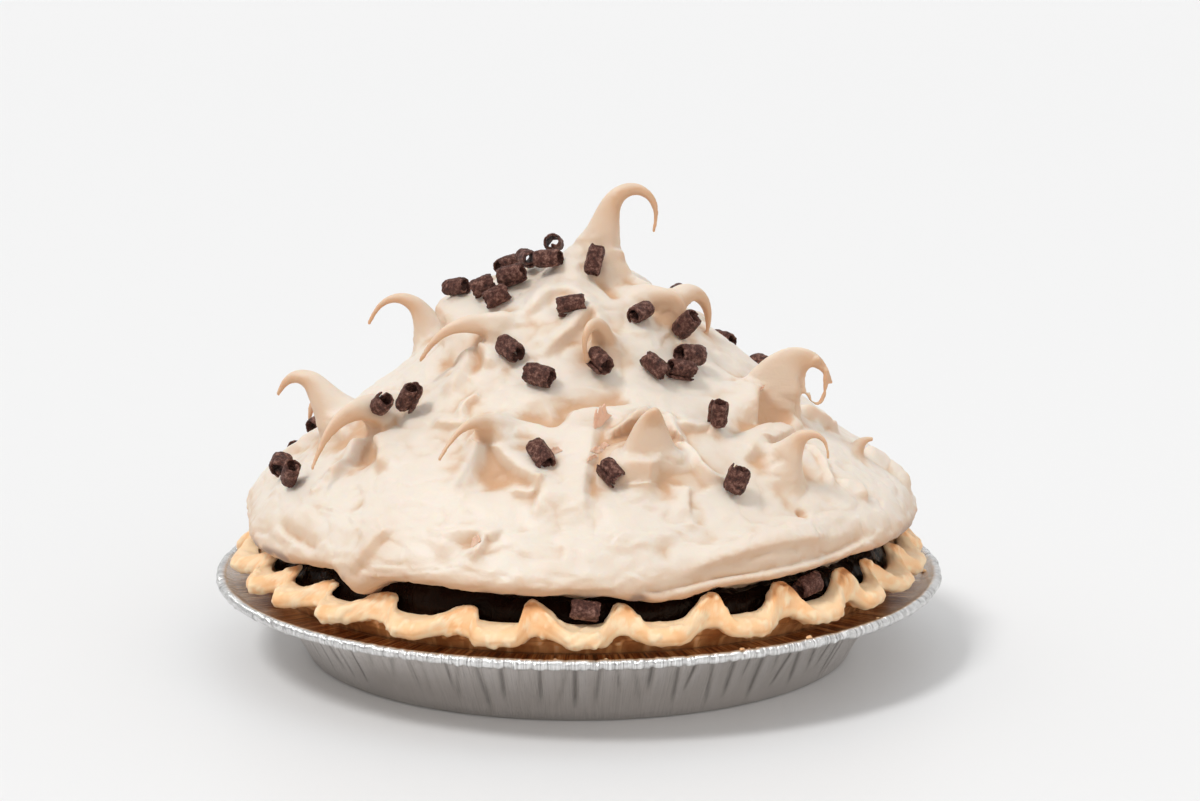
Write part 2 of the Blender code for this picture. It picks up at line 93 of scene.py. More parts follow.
def turned(name, profile, around):
    """A circle primitive, extruded ring by ring along a profile of radius and height in mm."""
    bpy.ops.mesh.primitive_circle_add(vertices=around, radius=profile[0][0] * MM,
                                      location=(0, 0, profile[0][1] * MM), fill_type="TRIFAN")
    bpy.ops.object.transform_apply(location=True)
    piece = bpy.context.object
    piece.name = piece.data.name = name
    bpy.ops.object.mode_set(mode="EDIT")
    bpy.ops.mesh.select_all(action="SELECT")
    bpy.ops.mesh.region_to_loop()
    for (radius, height), (wider, higher) in zip(profile, profile[1:]):
        bpy.ops.mesh.extrude_edges_move(
            TRANSFORM_OT_translate={"value": (0, 0, (higher - height) * MM)})
        bpy.ops.transform.resize(value=(wider / radius, wider / radius, 1),
                                 center_override=(0, 0, higher * MM))
    bpy.ops.mesh.edge_face_add()
    face_outwards()
    bpy.ops.object.shade_smooth()
    return piece


def points_of(piece):
    points = np.empty(len(piece.data.vertices) * 3)
    piece.data.vertices.foreach_get("co", points)
    return points.reshape(-1, 3)


def normals_of(piece):
    normals = np.empty(len(piece.data.vertices) * 3)
    piece.data.vertex_normals.foreach_get("vector", normals)
    return normals.reshape(-1, 3)


def place_points(piece, points):
    piece.data.vertices.foreach_set("co", points.ravel())
    piece.data.update()


def polar_of(points):
    """Each point's distance from the axis, azimuth and height."""
    return (np.hypot(points[:, 0], points[:, 1]) / MM,
            np.degrees(np.arctan2(points[:, 0], -points[:, 1])),
            points[:, 2] / MM)


def from_polar(radius, azimuth, height):
    turn = np.radians(azimuth)
    return np.stack([radius * np.sin(turn), -radius * np.cos(turn), height], -1) * MM


def smooth(value):
    """A soft step from 0 to 1 as the value goes from 0 to 1."""
    value = np.clip(value, 0.0, 1.0)
    return value * value * (3.0 - 2.0 * value)


def bump(distance, width):
    """A bell that is 1 at no distance and falls away over the width."""
    return np.exp(-(distance / width) ** 2)


def apart(azimuth, other):
    return (azimuth - other + 180.0) % 360.0 - 180.0


def along_line(start, end, count):
    """Points on a straight line, without its end."""
    return [(start[0] + (end[0] - start[0]) * step / count,
             start[1] + (end[1] - start[1]) * step / count) for step in range(count)]


bead_centre = (TIN_RIM - TIN_BEAD, TIN_FLANGE + 1.0)
bead = [(bead_centre[0] + TIN_BEAD * math.cos(math.radians(turn)),
         bead_centre[1] + TIN_BEAD * math.sin(math.radians(turn)))
        for turn in range(150, -151, -25)]
tin_profile = ([(TIN_BASE * 0.4, TIN_FOIL)]
               + along_line((TIN_BASE - TIN_FOIL - 1.0, TIN_FOIL), (TIN_BASE - TIN_FOIL, 1.3), 1)
               + along_line((TIN_BASE - TIN_FOIL, 1.5), (TIN_WALL_TOP - TIN_FOIL, TIN_FLANGE - 0.6), 6)
               + along_line((TIN_WALL_TOP - TIN_FOIL, TIN_FLANGE + TIN_FOIL / 2),
                            (bead[0][0], TIN_FLANGE + TIN_FOIL), 5)
               + bead
               + along_line((bead[-1][0] - 1.5, TIN_FLANGE - TIN_FOIL / 2),
                            (TIN_WALL_TOP + 0.8, TIN_FLANGE - TIN_FOIL / 2), 3)
               + along_line((TIN_WALL_TOP, TIN_FLANGE - 1.0), (TIN_BASE + 0.8, 1.6), 9)
               + [(TIN_BASE + 0.4, 0.5), (TIN_BASE - 0.6, 0.0), (TIN_BASE * 0.4, 0.0)])
tin = turned("foil_tin_pressed", tin_profile, TIN_ROUND)

chance = random.Random(41)
radius, azimuth, height = polar_of(points_of(tin))
on_wall = smooth((height - 0.8) / 3.0) * smooth((TIN_WALL_TOP + 0.6 - radius) / 1.5)
on_wall *= (radius > TIN_BASE * 0.9)
# Each crease also gets painted shade down its groove and a painted highlight beside it, stored for the
# material
painted_crease_shade = np.zeros(len(radius))
for crease in range(TIN_CREASES):
    where = 360.0 * (crease + chance.uniform(-0.33, 0.33)) / TIN_CREASES
    lean = chance.gauss(0.0, 0.09)
    depth = chance.uniform(0.08, 0.36)
    width = chance.uniform(0.65, 1.2)
    reach = chance.uniform(0.55, 1.0)
    gap = np.radians(apart(azimuth, where + lean * (height - 12.0))) * radius
    top = smooth((height / TIN_FLANGE - (1.0 - reach)) * 4.0)
    groove = on_wall * top * bump(gap, width)
    beside_it = on_wall * top * bump(gap - 2.6 * width, 2.2 * width)
    radius = radius - depth * groove + 0.6 * depth * beside_it
    painted_crease_shade += 2.0 * depth * (0.35 * beside_it - bump(gap, 0.8 * width) * on_wall * top)
outside = smooth((radius - bead_centre[0] + 2.2) / 1.2)
for count in range(BEAD_DENTS):
    where, width = chance.uniform(0.0, 360.0), chance.uniform(0.14, 0.42)
    gap = apart(azimuth, where + chance.uniform(-0.5, 0.5) * (height - bead_centre[1]))
    dent = chance.uniform(-0.42, 0.26) * outside * bump(gap, width)
    radius = radius + dent
    height = height + 0.6 * dent * np.sign(height - bead_centre[1])
turn = np.radians(azimuth)
ripple = 0.10 * np.sin(turn * FLANGE_RIBS + 3.0 * np.sin(turn * 17)) * (0.5 + 0.5 * np.sin(turn * 23 + 1.0))
radius = radius + ripple * outside
flange = (radius > TIN_WALL_TOP + 0.3) * (1.0 - outside)
height = height + flange * 0.16 * np.sin(turn * 7 + 0.6) * (radius - TIN_WALL_TOP) / 14
height = np.maximum(height, 0.0)
place_points(tin, from_polar(radius, azimuth, height))


def attach(piece, name, values):
    """Stores one value for each vertex, which the piece's material reads by name."""
    layer = piece.data.attributes.new(name, "FLOAT", "POINT")
    layer.data.foreach_set("value", np.asarray(values, np.float32))


attach(tin, "painted_crease_shade", np.clip(0.5 + 0.5 * painted_crease_shade, 0.0, 1.0))
# Painted reflection of the crust: the flange near the crust is streaked brown, most strongly in front
painted_crust_reflection = smooth((TIN_RIM - 3.5 - radius) / 7.0) * (radius > TIN_WALL_TOP + 0.3)
painted_crust_reflection *= 0.48 + 0.52 * np.cos(turn) + 0.12 * np.sin(turn * 9 + 1.0)
attach(tin, "painted_crust_reflection", np.clip(painted_crust_reflection, 0.0, 1.0))


def nodes_for(name):
    """A new material, its nodes, the place of each point on the piece, and its shader."""
    made = bpy.data.materials.new(name)
    made.use_nodes = True
    nodes = made.node_tree.nodes
    return made, nodes, add_node(nodes, "TexCoord", {})["Object"], nodes["Principled BSDF"]


def feed(node, inputs):
    """Gives each input of a node its value, or joins it to the output that it reads."""
    for key, value in inputs.items():
        if isinstance(value, bpy.types.NodeSocket):
            node.id_data.links.new(value, node.inputs[key])
        else:
            node.inputs[key].default_value = value


def add_node(nodes, kind, inputs, **settings):
    node = nodes.new("ShaderNode" + kind)
    for key, value in settings.items():
        setattr(node, key, value)
    feed(node, inputs)
    return node.outputs


def stored(nodes, name):
    """The values that attach gave the piece."""
    return add_node(nodes, "Attribute", {}, attribute_name=name)["Fac"]


def worked(nodes, operation, *values):
    return add_node(nodes, "Math", dict(enumerate(values)), operation=operation)[0]


def grain_group():
    """The group that every skin's grain comes from: a noise, and a value that the noise unsettles."""
    group = bpy.data.node_groups.new("skin_grain", "ShaderNodeTree")
    group.interface.new_socket("Place", in_out="INPUT", socket_type="NodeSocketVector")
    for name in ("Scale", "Detail", "Roughness", "Distortion", "Value", "Swing", "Offset"):
        group.interface.new_socket(name, in_out="INPUT", socket_type="NodeSocketFloat")
    for name in ("Grain", "Shifted"):
        group.interface.new_socket(name, in_out="OUTPUT", socket_type="NodeSocketFloat")
    given = group.nodes.new("NodeGroupInput").outputs
    pattern = add_node(group.nodes, "TexNoise", {
        "Vector": given["Place"], "Scale": given["Scale"], "Detail": given["Detail"],
        "Roughness": given["Roughness"], "Distortion": given["Distortion"]})["Fac"]
    shift = worked(group.nodes, "MULTIPLY_ADD", pattern, given["Swing"], given["Offset"])
    shifted = worked(group.nodes, "ADD", given["Value"], shift)
    feed(group.nodes.new("NodeGroupOutput"), {"Grain": pattern, "Shifted": shifted})
    return group


SKIN_GRAIN = grain_group()


def grained(nodes, place, scale, detail, roughness, **more):
    """The skin grain at its own size and strength: its pattern, and the value that it unsettles."""
    return add_node(nodes, "Group", {"Place": place, "Scale": scale, "Detail": detail,
                                     "Roughness": roughness, **more}, node_tree=SKIN_GRAIN)


def mixed(nodes, share, first, second):
    return add_node(nodes, "Mix", {0: share, 6: first, 7: second}, data_type="RGBA")[2]


def rough_skin(nodes, pattern, strength, distance, **more):
    return add_node(nodes, "Bump", {"Height": pattern, "Strength": strength, "Distance": distance,
                                    **more})["Normal"]


def grey(value):
    return (value, value, value)


def coloured(nodes, pattern, *stops):
    """The pattern as colours, through stops of its value and colour."""
    ramp = nodes.new("ShaderNodeValToRGB")
    elements = ramp.color_ramp.elements
    while len(elements) < len(stops):
        elements.new(0.5)
    for element, (position, colour) in zip(elements, stops):
        element.position = position
        element.color = (*colour, 1.0)
    feed(ramp, {"Fac": pattern})
    return ramp.outputs["Color"]


foil, nodes, place, shader = nodes_for("pressed_foil")
split = add_node(nodes, "SeparateXYZ", {0: place})
flat = add_node(nodes, "VectorMath", {0: place, 1: (1.0, 1.0, 0.3)}, operation="MULTIPLY")[0]
from_axis = add_node(nodes, "VectorMath", {0: flat}, operation="LENGTH")["Value"]
round_axis = worked(nodes, "ARCTAN2", split["X"], split["Y"])
spoke = add_node(nodes, "CombineXYZ", {"X": worked(nodes, "MULTIPLY", round_axis, FLANGE_RIBS),
                                       "Y": worked(nodes, "MULTIPLY", from_axis, 22.0)})[0]
ribs, creased = grained(nodes, spoke, 1.0, 5.0, 0.65, Value=stored(nodes, "painted_crease_shade"), Swing=0.22,
                        Offset=-0.11)
haze = grained(nodes, place, 55.0, 4.0, 0.6)["Grain"]
# The flange and bead are painted in streaks along the ribs, from dark grey to near white, as painted glints
# and dark reflections
painted_rib_glints = coloured(nodes, ribs, (0.34, (0.44, 0.43, 0.42)), (0.5, FOIL_COLOUR), (0.64, (0.97, 0.97, 0.97)))
# The wall is painted darker and warmer than the flange as painted shade, and darker down its creases and
# lighter beside them as painted shade and highlight
painted_shade_wall_colour = coloured(nodes, creased, (0.12, (0.21, 0.195, 0.185)), (0.5, SHADED_WALL_COLOUR),
                 (0.85, (0.92, 0.90, 0.89)))
up_wall = add_node(nodes, "MapRange", {0: split["Z"], 1: TIN_FLANGE * MM - 0.002, 2: TIN_FLANGE * MM})[0]
# The painted reflection of the crust on the flange: dark brown, golden and near-white streaks along the ribs
broad_spoke = add_node(nodes, "VectorMath", {0: spoke, 1: (0.46, 0.6, 1.0)}, operation="MULTIPLY")[0]
painted_reflection_streaks = coloured(nodes, grained(nodes, broad_spoke, 1.0, 3.0, 0.7)["Grain"],
                    (0.39, (0.05, 0.016, 0.004)), (0.46, (0.27, 0.10, 0.022)),
                    (0.53, (0.64, 0.35, 0.12)), (0.60, (0.97, 0.84, 0.63)))
feed(shader, {
    "Metallic": 1.0,
    "Base Color": mixed(nodes, stored(nodes, "painted_crust_reflection"), mixed(nodes, up_wall, painted_shade_wall_colour, painted_rib_glints), painted_reflection_streaks),
    "Roughness": coloured(nodes, haze, (0.3, grey(0.13)), (0.75, grey(0.28))),
    "Normal": rough_skin(nodes, haze, 0.35, 0.0012, Normal=rough_skin(nodes, ribs, 0.8, 0.0006))})


def finish_piece(piece, material, slot, *replaced):
    """Gives a piece its material and its place on the pie's one body."""
    piece.data.materials.clear()
    piece.data.materials.append(material)
    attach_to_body(piece, "root")
    if replaced:
        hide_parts(*replaced)
    bpy.ops.object.select_all(action="DESELECT")


finish_piece(tin, foil, "foil", "foil_tin")


# The pastry case lines the tin, and its rim is a ribbon of dough pinched up into crimps that lean
# and differ, as fingers leave them. It baked golden, blistered, and browner on its high edges.
PASTRY = 3.6
RIBBON = 4.8
RIM_OUTER = 116.4
RIM_HOVER = 4.4
CRIMP_LIFT = 7.6
CRIMP_PULL = 6.4
CRIMP_COUNT = 27
CREAM_LEVEL = 36.0
# The azimuth of each crimp in front, and how high it stands as a share of the lift
FRONT_CRIMPS = ((-88.0, 0.9), (-71.0, 0.7), (-60.0, 0.6), (-49.5, 0.5), (-34.6, 0.6),
                (-19.8, 0.55), (-4.6, 0.88), (7.3, 0.76), (20.3, 1.0), (34.9, 1.0),
                (48.7, 0.95), (60.5, 0.9), (72.0, 0.9), (87.0, 0.95), (98.5, 0.9))
CASE_ROUND = 1188


def through(points, count):
    """Evenly spread points on a smooth curve through the given ones."""
    points = np.array(points, float)
    ends = np.vstack([2 * points[0] - points[1], points, 2 * points[-1] - points[-2]])
    fine_points = []
    for a, b, c, d in zip(ends, ends[1:], ends[2:], ends[3:]):
        for step in range(16):
            t = step / 16
            fine_points.append(0.5 * (2 * b + (c - a) * t + (2 * a - 5 * b + 4 * c - d) * t ** 2
                                      + (3 * b - a - 3 * c + d) * t ** 3))
    fine_points = np.array(fine_points + [points[-1]])
    steps = np.linalg.norm(np.diff(fine_points, axis=0), axis=1)
    run = np.concatenate([[0.0], np.cumsum(steps)])
    wanted = np.linspace(0.0, run[-1], count)
    return np.stack([np.interp(wanted, run, column) for column in fine_points.T], -1)


SLOPES = np.random.RandomState(8).normal(size=(4096, 3))
SLOPES /= np.linalg.norm(SLOPES, axis=1)[:, None]
CORNER_KEYS = np.array((73856093, 19349663, 83492791))


def lumps(at):
    """Smooth waves from about -1 to 1, one lump to a unit, from a random slope at each corner."""
    cell = np.floor(at).astype(np.int64)
    inside = at - cell
    fade = inside ** 3 * (inside * (inside * 6.0 - 15.0) + 10.0)
    total = np.zeros(len(at))
    for corner in np.ndindex(2, 2, 2):
        key = np.bitwise_xor.reduce((cell + corner) * CORNER_KEYS, axis=1)
        share = np.prod(np.where(corner, fade, 1.0 - fade), axis=1)
        total += share * np.einsum("ij,ij->i", SLOPES[(key >> 3) % len(SLOPES)], inside - corner)
    return 1.5 * total


def grain(points, size, seed=0.0, depth=3):
    """Soft noise from about -1 to 1 over points in mm, with features of the given size in mm."""
    scaled = np.asarray(points) / size + np.array((seed, -2.0 * seed, 0.5 * seed)) + 37.3
    return sum(lumps(scaled * 2.0 ** octave) * 0.5 ** octave for octave in range(depth))


slope = (TIN_WALL_TOP - TIN_BASE) / TIN_FLANGE
play = TIN_FOIL + 0.65
case_floor = TIN_FOIL + 0.4
lip = CREAM_LEVEL - 2.2
under = TIN_FLANGE + RIM_HOVER


def wall(level, inset):
    return TIN_BASE + slope * level - play - inset


rim_start = wall(lip, PASTRY)
ribbon = through([(rim_start, lip), (rim_start + 2.6, lip + 0.9),
                  (RIM_OUTER - 8.4, under + RIBBON + 0.9), (RIM_OUTER - 4.6, under + RIBBON + 0.75),
                  (RIM_OUTER - 1.4, under + RIBBON), (RIM_OUTER - 0.15, under + RIBBON / 2 + 0.8),
                  (RIM_OUTER - 0.2, under + RIBBON / 2 - 0.8), (RIM_OUTER - 1.4, under + 0.05),
                  (RIM_OUTER - 4.6, under - 0.2), (RIM_OUTER - 8.0, under - 0.2),
                  (wall(TIN_FLANGE, 0.0) + 1.0, TIN_FLANGE + 2.4)], 50)
case_profile = ([(TIN_BASE * 0.4, case_floor + PASTRY),
                 (wall(case_floor + PASTRY, PASTRY), case_floor + PASTRY)]
                + along_line((wall(12.0, PASTRY), 12.0), (rim_start, lip), 4)
                + [tuple(point) for point in ribbon]
                + [(wall(TIN_FLANGE - 1.0, 0.0), TIN_FLANGE - 1.0),
                   (wall(12.0, 0.0), 12.0),
                   (wall(case_floor, 0.0), case_floor),
                   (TIN_BASE * 0.4, case_floor)])
case = turned("pastry_case_baked", case_profile, CASE_ROUND)

chance = random.Random(27)
back_count = CRIMP_COUNT - len(FRONT_CRIMPS)
first_hidden, last_hidden = FRONT_CRIMPS[-1][0], FRONT_CRIMPS[0][0] + 360.0
crimp_step = (last_hidden - first_hidden) / (back_count + 1)
crimps = list(FRONT_CRIMPS) + [
    (first_hidden + crimp_step * (number + 1) + chance.uniform(-1.6, 1.6), chance.uniform(0.6, 1.0))
    for number in range(back_count)]
chance = random.Random(5)
leans = np.array([chance.uniform(-2.4, 2.4) for crimp in crimps])
# The four crimps at the left were pushed in further and more broadly
broad_left = [0 < count < 5 for count in range(CRIMP_COUNT)]
sharpness = np.array([chance.uniform(1.6, 1.9) if broad else chance.uniform(2.3, 2.9)
                      for broad in broad_left])
pulls = np.where(broad_left, 1.4 * CRIMP_PULL, CRIMP_PULL)
centres = np.array([crimp[0] for crimp in crimps])
lifts = np.array([crimp[1] for crimp in crimps])

radius, azimuth, height = polar_of(points_of(case))
place_round = (azimuth % 360.0) / 360.0 * CRIMP_COUNT
number = np.round(place_round).astype(int)
phase = place_round - number
number %= CRIMP_COUNT
beside = (number + np.where(phase > 0, 1, -1)) % CRIMP_COUNT
on_rim = height > TIN_FLANGE + 2.0
azimuth = centres[number] + np.abs(phase) * apart(centres[beside], centres[number])
rise = (0.5 + 0.5 * np.cos(2 * math.pi * phase)) ** sharpness[number]
rise = (1.0 - (1.0 - rise) ** 1.5) * on_rim
outward = smooth((radius - rim_start) / (RIM_OUTER - rim_start) * 1.5)
bottom = smooth((under + RIBBON * 0.95 - height) / (RIBBON * 0.95)) * (radius > RIM_OUTER - 9.0)
brim_radius, brim_height = radius.copy(), height.copy()
radius = radius - pulls[number] * rise * outward * (1.0 - 0.45 * bottom)
radius = radius + 0.9 * outward * on_rim * (1.0 - rise) ** 4
height = height + CRIMP_LIFT * rise * outward * lifts[number] * (1.0 - 0.58 * bottom)
azimuth = azimuth + leans[number] * rise * outward * (1.0 - 0.5 * bottom)
points = from_polar(radius, azimuth, height)
coarse = grain(points / MM, 7.5, 3.0, 2)
blister = grain(points / MM, 3.0, 7.0, 2)
pit = grain(points / MM, 1.1, 11.0, 2)
domes = np.maximum(blister - 0.1, 0.0)
swell = on_rim * outward * (0.55 * coarse + 1.0 * domes + 0.12 * pit)
place_points(case, points)
place_points(case, points + normals_of(case) * (swell * MM)[:, None])

# The stored browning is partly real and partly painted shade: deeper on the high crimps, on the rim's edge
# and in random patches, paler on the blisters, darker towards the ribbon's lower part, and much darker, as
# painted shade, on the dough tucked under the ribbon
edge_on = bump(brim_radius - RIM_OUTER + 1.0, 1.6) * (brim_height > under + 1.5)
high = smooth((height - under - RIBBON - 1.5) / 8.0)
painted_shade_under_ribbon = smooth((under + 0.6 - brim_height) / 0.8) * smooth((RIM_OUTER - 3.0 - brim_radius) / 2.5)
attach(case, "browning_and_painted_shade", np.clip(0.02 + 0.16 * high + 0.26 * edge_on + 0.62 * high * edge_on + 0.24 * coarse
                              - 1.1 * domes + 0.25 * bottom + 0.9 * painted_shade_under_ribbon, 0.0, 1.0))

pastry, nodes, place, shader = nodes_for("golden_pastry")
# The pastry's colour follows the stored browning and painted shade, unsettled by noise
mottle, mottled = grained(nodes, place, 240.0, 6.0, 0.6, Value=stored(nodes, "browning_and_painted_shade"), Swing=0.42,
                          Offset=-0.23)
patched = grained(nodes, place, 75.0, 3.0, 0.55, Value=mottled, Swing=0.5, Offset=-0.25)["Shifted"]
feed(shader, {
    "Base Color": coloured(nodes, patched, (0.0, (1.0, 0.74, 0.47)), (0.3, (1.0, 0.62, 0.33)),
                           (0.6, (0.90, 0.46, 0.19)), (1.0, (0.44, 0.155, 0.04))),
    "Roughness": 0.52, "Subsurface Weight": 0.12, "Subsurface Radius": (0.9, 0.45, 0.2),
    "Subsurface Scale": 0.002, "Normal": rough_skin(nodes, mottle, 0.55, 0.0005)})
finish_piece(case, pastry, "baked_pastry", "pastry_case")


# The filling is chocolate cream that was poured into the case and set. It is almost black and
# glossy, and was pushed into soft folds where the meringue was spread over it.
MOUND_FOOT = 95.0
CREAM_ROUND = 720
cream_inset = TIN_FOIL + 0.35 + PASTRY + 0.75
cream_floor = TIN_FOIL + PASTRY + 0.6
cream_edge = CREAM_LEVEL - 2.6
cream_profile = ([(MOUND_FOOT * 0.8, CREAM_LEVEL)]
                 + along_line((MOUND_FOOT - 8.0, CREAM_LEVEL), (MOUND_FOOT + 6.4, CREAM_LEVEL - 1.3), 20)
                 + [(MOUND_FOOT + 6.4, CREAM_LEVEL - 1.4),
                    (TIN_BASE + slope * cream_edge - cream_inset, cream_edge),
                    (TIN_BASE + slope * 12.0 - cream_inset, 12.0),
                    (TIN_BASE + slope * cream_floor - cream_inset, cream_floor),
                    (MOUND_FOOT * 0.4, cream_floor)])
cream = turned("chocolate_cream_set", cream_profile, CREAM_ROUND)
radius, azimuth, height = polar_of(points_of(cream))
turn = np.radians(azimuth)
near_rim = smooth((radius - MOUND_FOOT + 8.0) / 5.0) * smooth((height - cream_edge + 0.4) / 1.5)
fold = np.sin(9 * turn) * np.cos(4 * turn) + 0.6 * np.sin(23 * turn + (radius - 90.0) * 0.5)
lump = grain(from_polar(radius, azimuth, height) / MM, 8.0, 21.0, 3)
heaped = 6.0 * smooth((radius - MOUND_FOOT + 7.0) / 5.0) + 4.5 * bump(apart(azimuth, -26.0), 12.0) ** 0.8
height = height + near_rim * (0.6 * fold + 1.7 * lump + heaped)
radius = radius + near_rim * 1.3 * grain(from_polar(radius, azimuth, height) / MM, 6.0, 25.0, 2)
place_points(cream, from_polar(radius, azimuth, height))

chocolate, nodes, place, shader = nodes_for("glossy_chocolate_cream")
swirl = grained(nodes, place, 90.0, 4.0, 0.5, Distortion=1.2)["Grain"]
feed(shader, {
    "Base Color": coloured(nodes, swirl, (0.3, (0.004, 0.0016, 0.0011)), (0.75, (0.014, 0.0058, 0.0036))),
    "Roughness": coloured(nodes, swirl, (0.3, grey(0.14)), (0.8, grey(0.34))),
    "Specular IOR Level": 0.1, "Specular Tint": (1.0, 0.72, 0.52, 1.0),
    "Normal": rough_skin(nodes, swirl, 0.8, 0.0022)})
finish_piece(cream, chocolate, "chocolate_cream", "chocolate_filling")


# The meringue is whipped egg white and brown sugar, heaped on the cream and spread to the rim. A
# spatula pulled it up into peaks that curled over, and left folds, hollows and soft strokes.
MOUND_ROUND = 480
# The slope's radius and height from the middle down to the lip and under it
MOUND_SLOPE = ((0.5, 135.0), (12.0, 130.0), (29.0, 121.5), (40.5, 113.0), (48.0, 104.5),
               (57.5, 96.5), (71.0, 86.0), (85.0, 75.5), (98.0, 65.0), (107.0, 56.0),
               (111.6, 49.2), (111.3, 46.6), (108.8, 44.9), (103.5, 44.0), (98.5, 43.2))
# Where the mound swells: azimuth, height, how far it stands out, and its width round and up
SWELLS = ((90.0, 58.0, 3.6, 30.0, 8.0), (92.0, 45.0, 3.4, 16.0, 6.0),
          (-90.0, 117.0, 11.0, 24.0, 7.0), (90.0, 116.0, -6.0, 26.0, 9.0),
          (-20.0, 92.0, 2.0, 22.0, 12.0), (40.0, 84.0, 2.5, 20.0, 10.0),
          (175.0, 78.0, 3.0, 40.0, 14.0), (-135.0, 62.0, 3.0, 22.0, 10.0),
          (140.0, 100.0, 2.5, 20.0, 10.0))
# Where its lip hangs lower or higher: azimuth, rise and width
DRIPS = ((-37.8, -6.2, 3.6), (13.5, -3.0, 7.5), (-26.0, 0.2, 10.0), (55.0, 1.6, 12.0),
         (-63.0, -4.3, 12.0), (160.0, -2.4, 3.6), (-150.0, 1.5, 10.0), (118.0, 1.2, 8.0),
         (-112.0, -2.0, 4.0))

mound_profile = [tuple(point) for point in through(MOUND_SLOPE, 130)]
mound_profile += [(MOUND_FOOT, CREAM_LEVEL + 0.3), (MOUND_FOOT * 0.4, CREAM_LEVEL + 0.3)]
meringue = turned("meringue_spread", mound_profile, MOUND_ROUND)
radius, azimuth, height = polar_of(points_of(meringue))
above = height > CREAM_LEVEL + 0.6
level = height.copy()
for where, centre, amount, spread, tall in SWELLS:
    radius = radius + above * amount * bump(apart(azimuth, where), spread) * bump(level - centre, tall)
low = smooth((60.0 - level) / 16.0) * above
for where, amount, spread in DRIPS:
    height = height + amount * low * bump(apart(azimuth, where), spread)
turn = np.radians(azimuth)
stroke = np.sin(5 * turn + 0.060 * height) + 0.7 * np.sin(11 * turn - 0.095 * height)
radius = radius + 0.8 * stroke * smooth((radius - 12.0) / 30.0) * above
place_points(meringue, from_polar(radius, azimuth, height))

# Each peak has the azimuth and height of its foot, the azimuth that it curls over to, the slope of
# its start above level, how far it turns over, its length, the width of its foot along and across
# the curl, how hollow it is on the side that it curls to, how far along it the bend starts, and
# how fast it thins
PEAKS = {
    "top": (32, 130.4, 92, 77, 178, 48.4, 18, 17, 0.15, 0.31, 1.75),
    "upper_left": (-116, 98, -94, 71, 135, 36.0, 15, 15, 0.3, 0.18, 1.8),
    "left_middle": (-38, 112.6, -78, 14, 72, 31.0, 11, 11, 0.6, 0.05, 1.9),
    "far_left": (-77, 78.8, -96, 55, 118, 32.0, 18, 20, 0.15, 0.4, 1.3),
    "left_front": (-59, 85, -45, 30, 92, 39.0, 13, 16, 0.7, -0.12, 1.7),
    "centre_left": (-20.4, 86, -38, 45, 90, 30.7, 11, 12, 0.5, -0.19, 2.7),
    "centre_front": (15.7, 79, 25, 84, 40, 19.0, 14, 24, 0.2, 0.45, 0.8),
    "right_wave": (67, 86.3, 94, 74, 139, 32.0, 32, 13, 0.6, 0.21, 1.75),
    "right_front": (45.5, 73.4, 75, 60, 150, 26.5, 20, 14, 0.3, 0.3, 2.1),
    "upper_right": (44, 120.6, 83, 14, 122, 24.0, 10, 11, 0.5, 0.12, 1.5),
    "upper_right_back": (58, 116.4, 124, 57, 153, 28.0, 10, 12, 0.4, -0.09, 1.3),
    "upper_centre": (11.4, 107.5, -32, 69, 180, 27.0, 11, 10, 0.4, 0.12, 1.7),
    "right_tick": (80, 69, 90, 60, 60, 8.0, 6, 6, 0.1, 0.2, 1.3),
    "back_top": (-166, 106, -140, 62, 155, 33.0, 14, 14, 0.3, 0.2, 1.6),
    "back_high": (156, 98, 150, 60, 150, 31.0, 15, 14, 0.4, 0.15, 1.6),
    "back_left": (-146, 82, -125, 55, 145, 33.0, 16, 17, 0.5, 0.15, 1.6),
    "back_right": (141, 70, 125, 55, 140, 32.0, 16, 17, 0.5, 0.15, 1.6),
    "back_middle": (-178, 76, -155, 55, 140, 33.0, 17, 17, 0.5, 0.2, 1.6),
    "back_low_left": (-126, 62, -112, 55, 140, 25.0, 16, 15, 0.4, 0.2, 1.6),
    "back_low_right": (150, 58, 132, 55, 140, 27.0, 16, 15, 0.4, 0.2, 1.6),
    "back_low": (-162, 58, -140, 60, 120, 23.0, 17, 15, 0.3, 0.3, 1.6),
}
PEAK_ROOT = 11.0
PEAK_TIP = 0.62
PEAK_STEPS = 49
PEAK_SIDES = 28
# A thin strand loops under the crook of the right wave and back up to its tip
STRAND = ((78.5, -27.2, 102.6), (74.4, -27.2, 99.4), (73.2, -27.2, 96.7), (73.7, -27.2, 92.3),
          (75.9, -27.2, 88.7), (78.2, -27.2, 87.4), (79.8, -27.2, 89.1), (80.6, -27.2, 92.4),
          (80.6, -27.2, 95.8), (81.0, -27.0, 99.0))
STRAND_STEPS = 40
STRAND_SIDES = 12


def surface_of(piece):
    return BVHTree.FromPolygons([vertex.co for vertex in piece.data.vertices],
                                [face.vertices for face in piece.data.polygons])


def place_on(surface, azimuth, height):
    """Where a level line towards the axis meets the surface, and the surface's direction there."""
    start = Vector(from_polar(300.0, azimuth, height))
    point, normal = surface.ray_cast(start, Vector(from_polar(-1000.0, azimuth, 0.0)))[:2]
    if point is None:
        point, normal = surface.find_nearest(Vector(from_polar(105.0, azimuth, height)))[:2]
    return np.array(point), np.array(normal)


def tube(name, rings):
    """A grid primitive, rolled up through rings of points and closed at both ends."""
    rows, sides = len(rings), len(rings[0])
    bpy.ops.mesh.primitive_grid_add(x_subdivisions=sides, y_subdivisions=rows - 1, size=1.0)
    piece = bpy.context.object
    piece.name = piece.data.name = name
    place_points(piece, np.concatenate([np.vstack([ring, ring[:1]]) for ring in rings]))
    bpy.ops.object.mode_set(mode="EDIT")
    bpy.ops.mesh.select_all(action="SELECT")
    bpy.ops.mesh.remove_doubles(threshold=0.00001)
    bpy.ops.mesh.fill_holes(sides=0)
    face_outwards()
    return piece


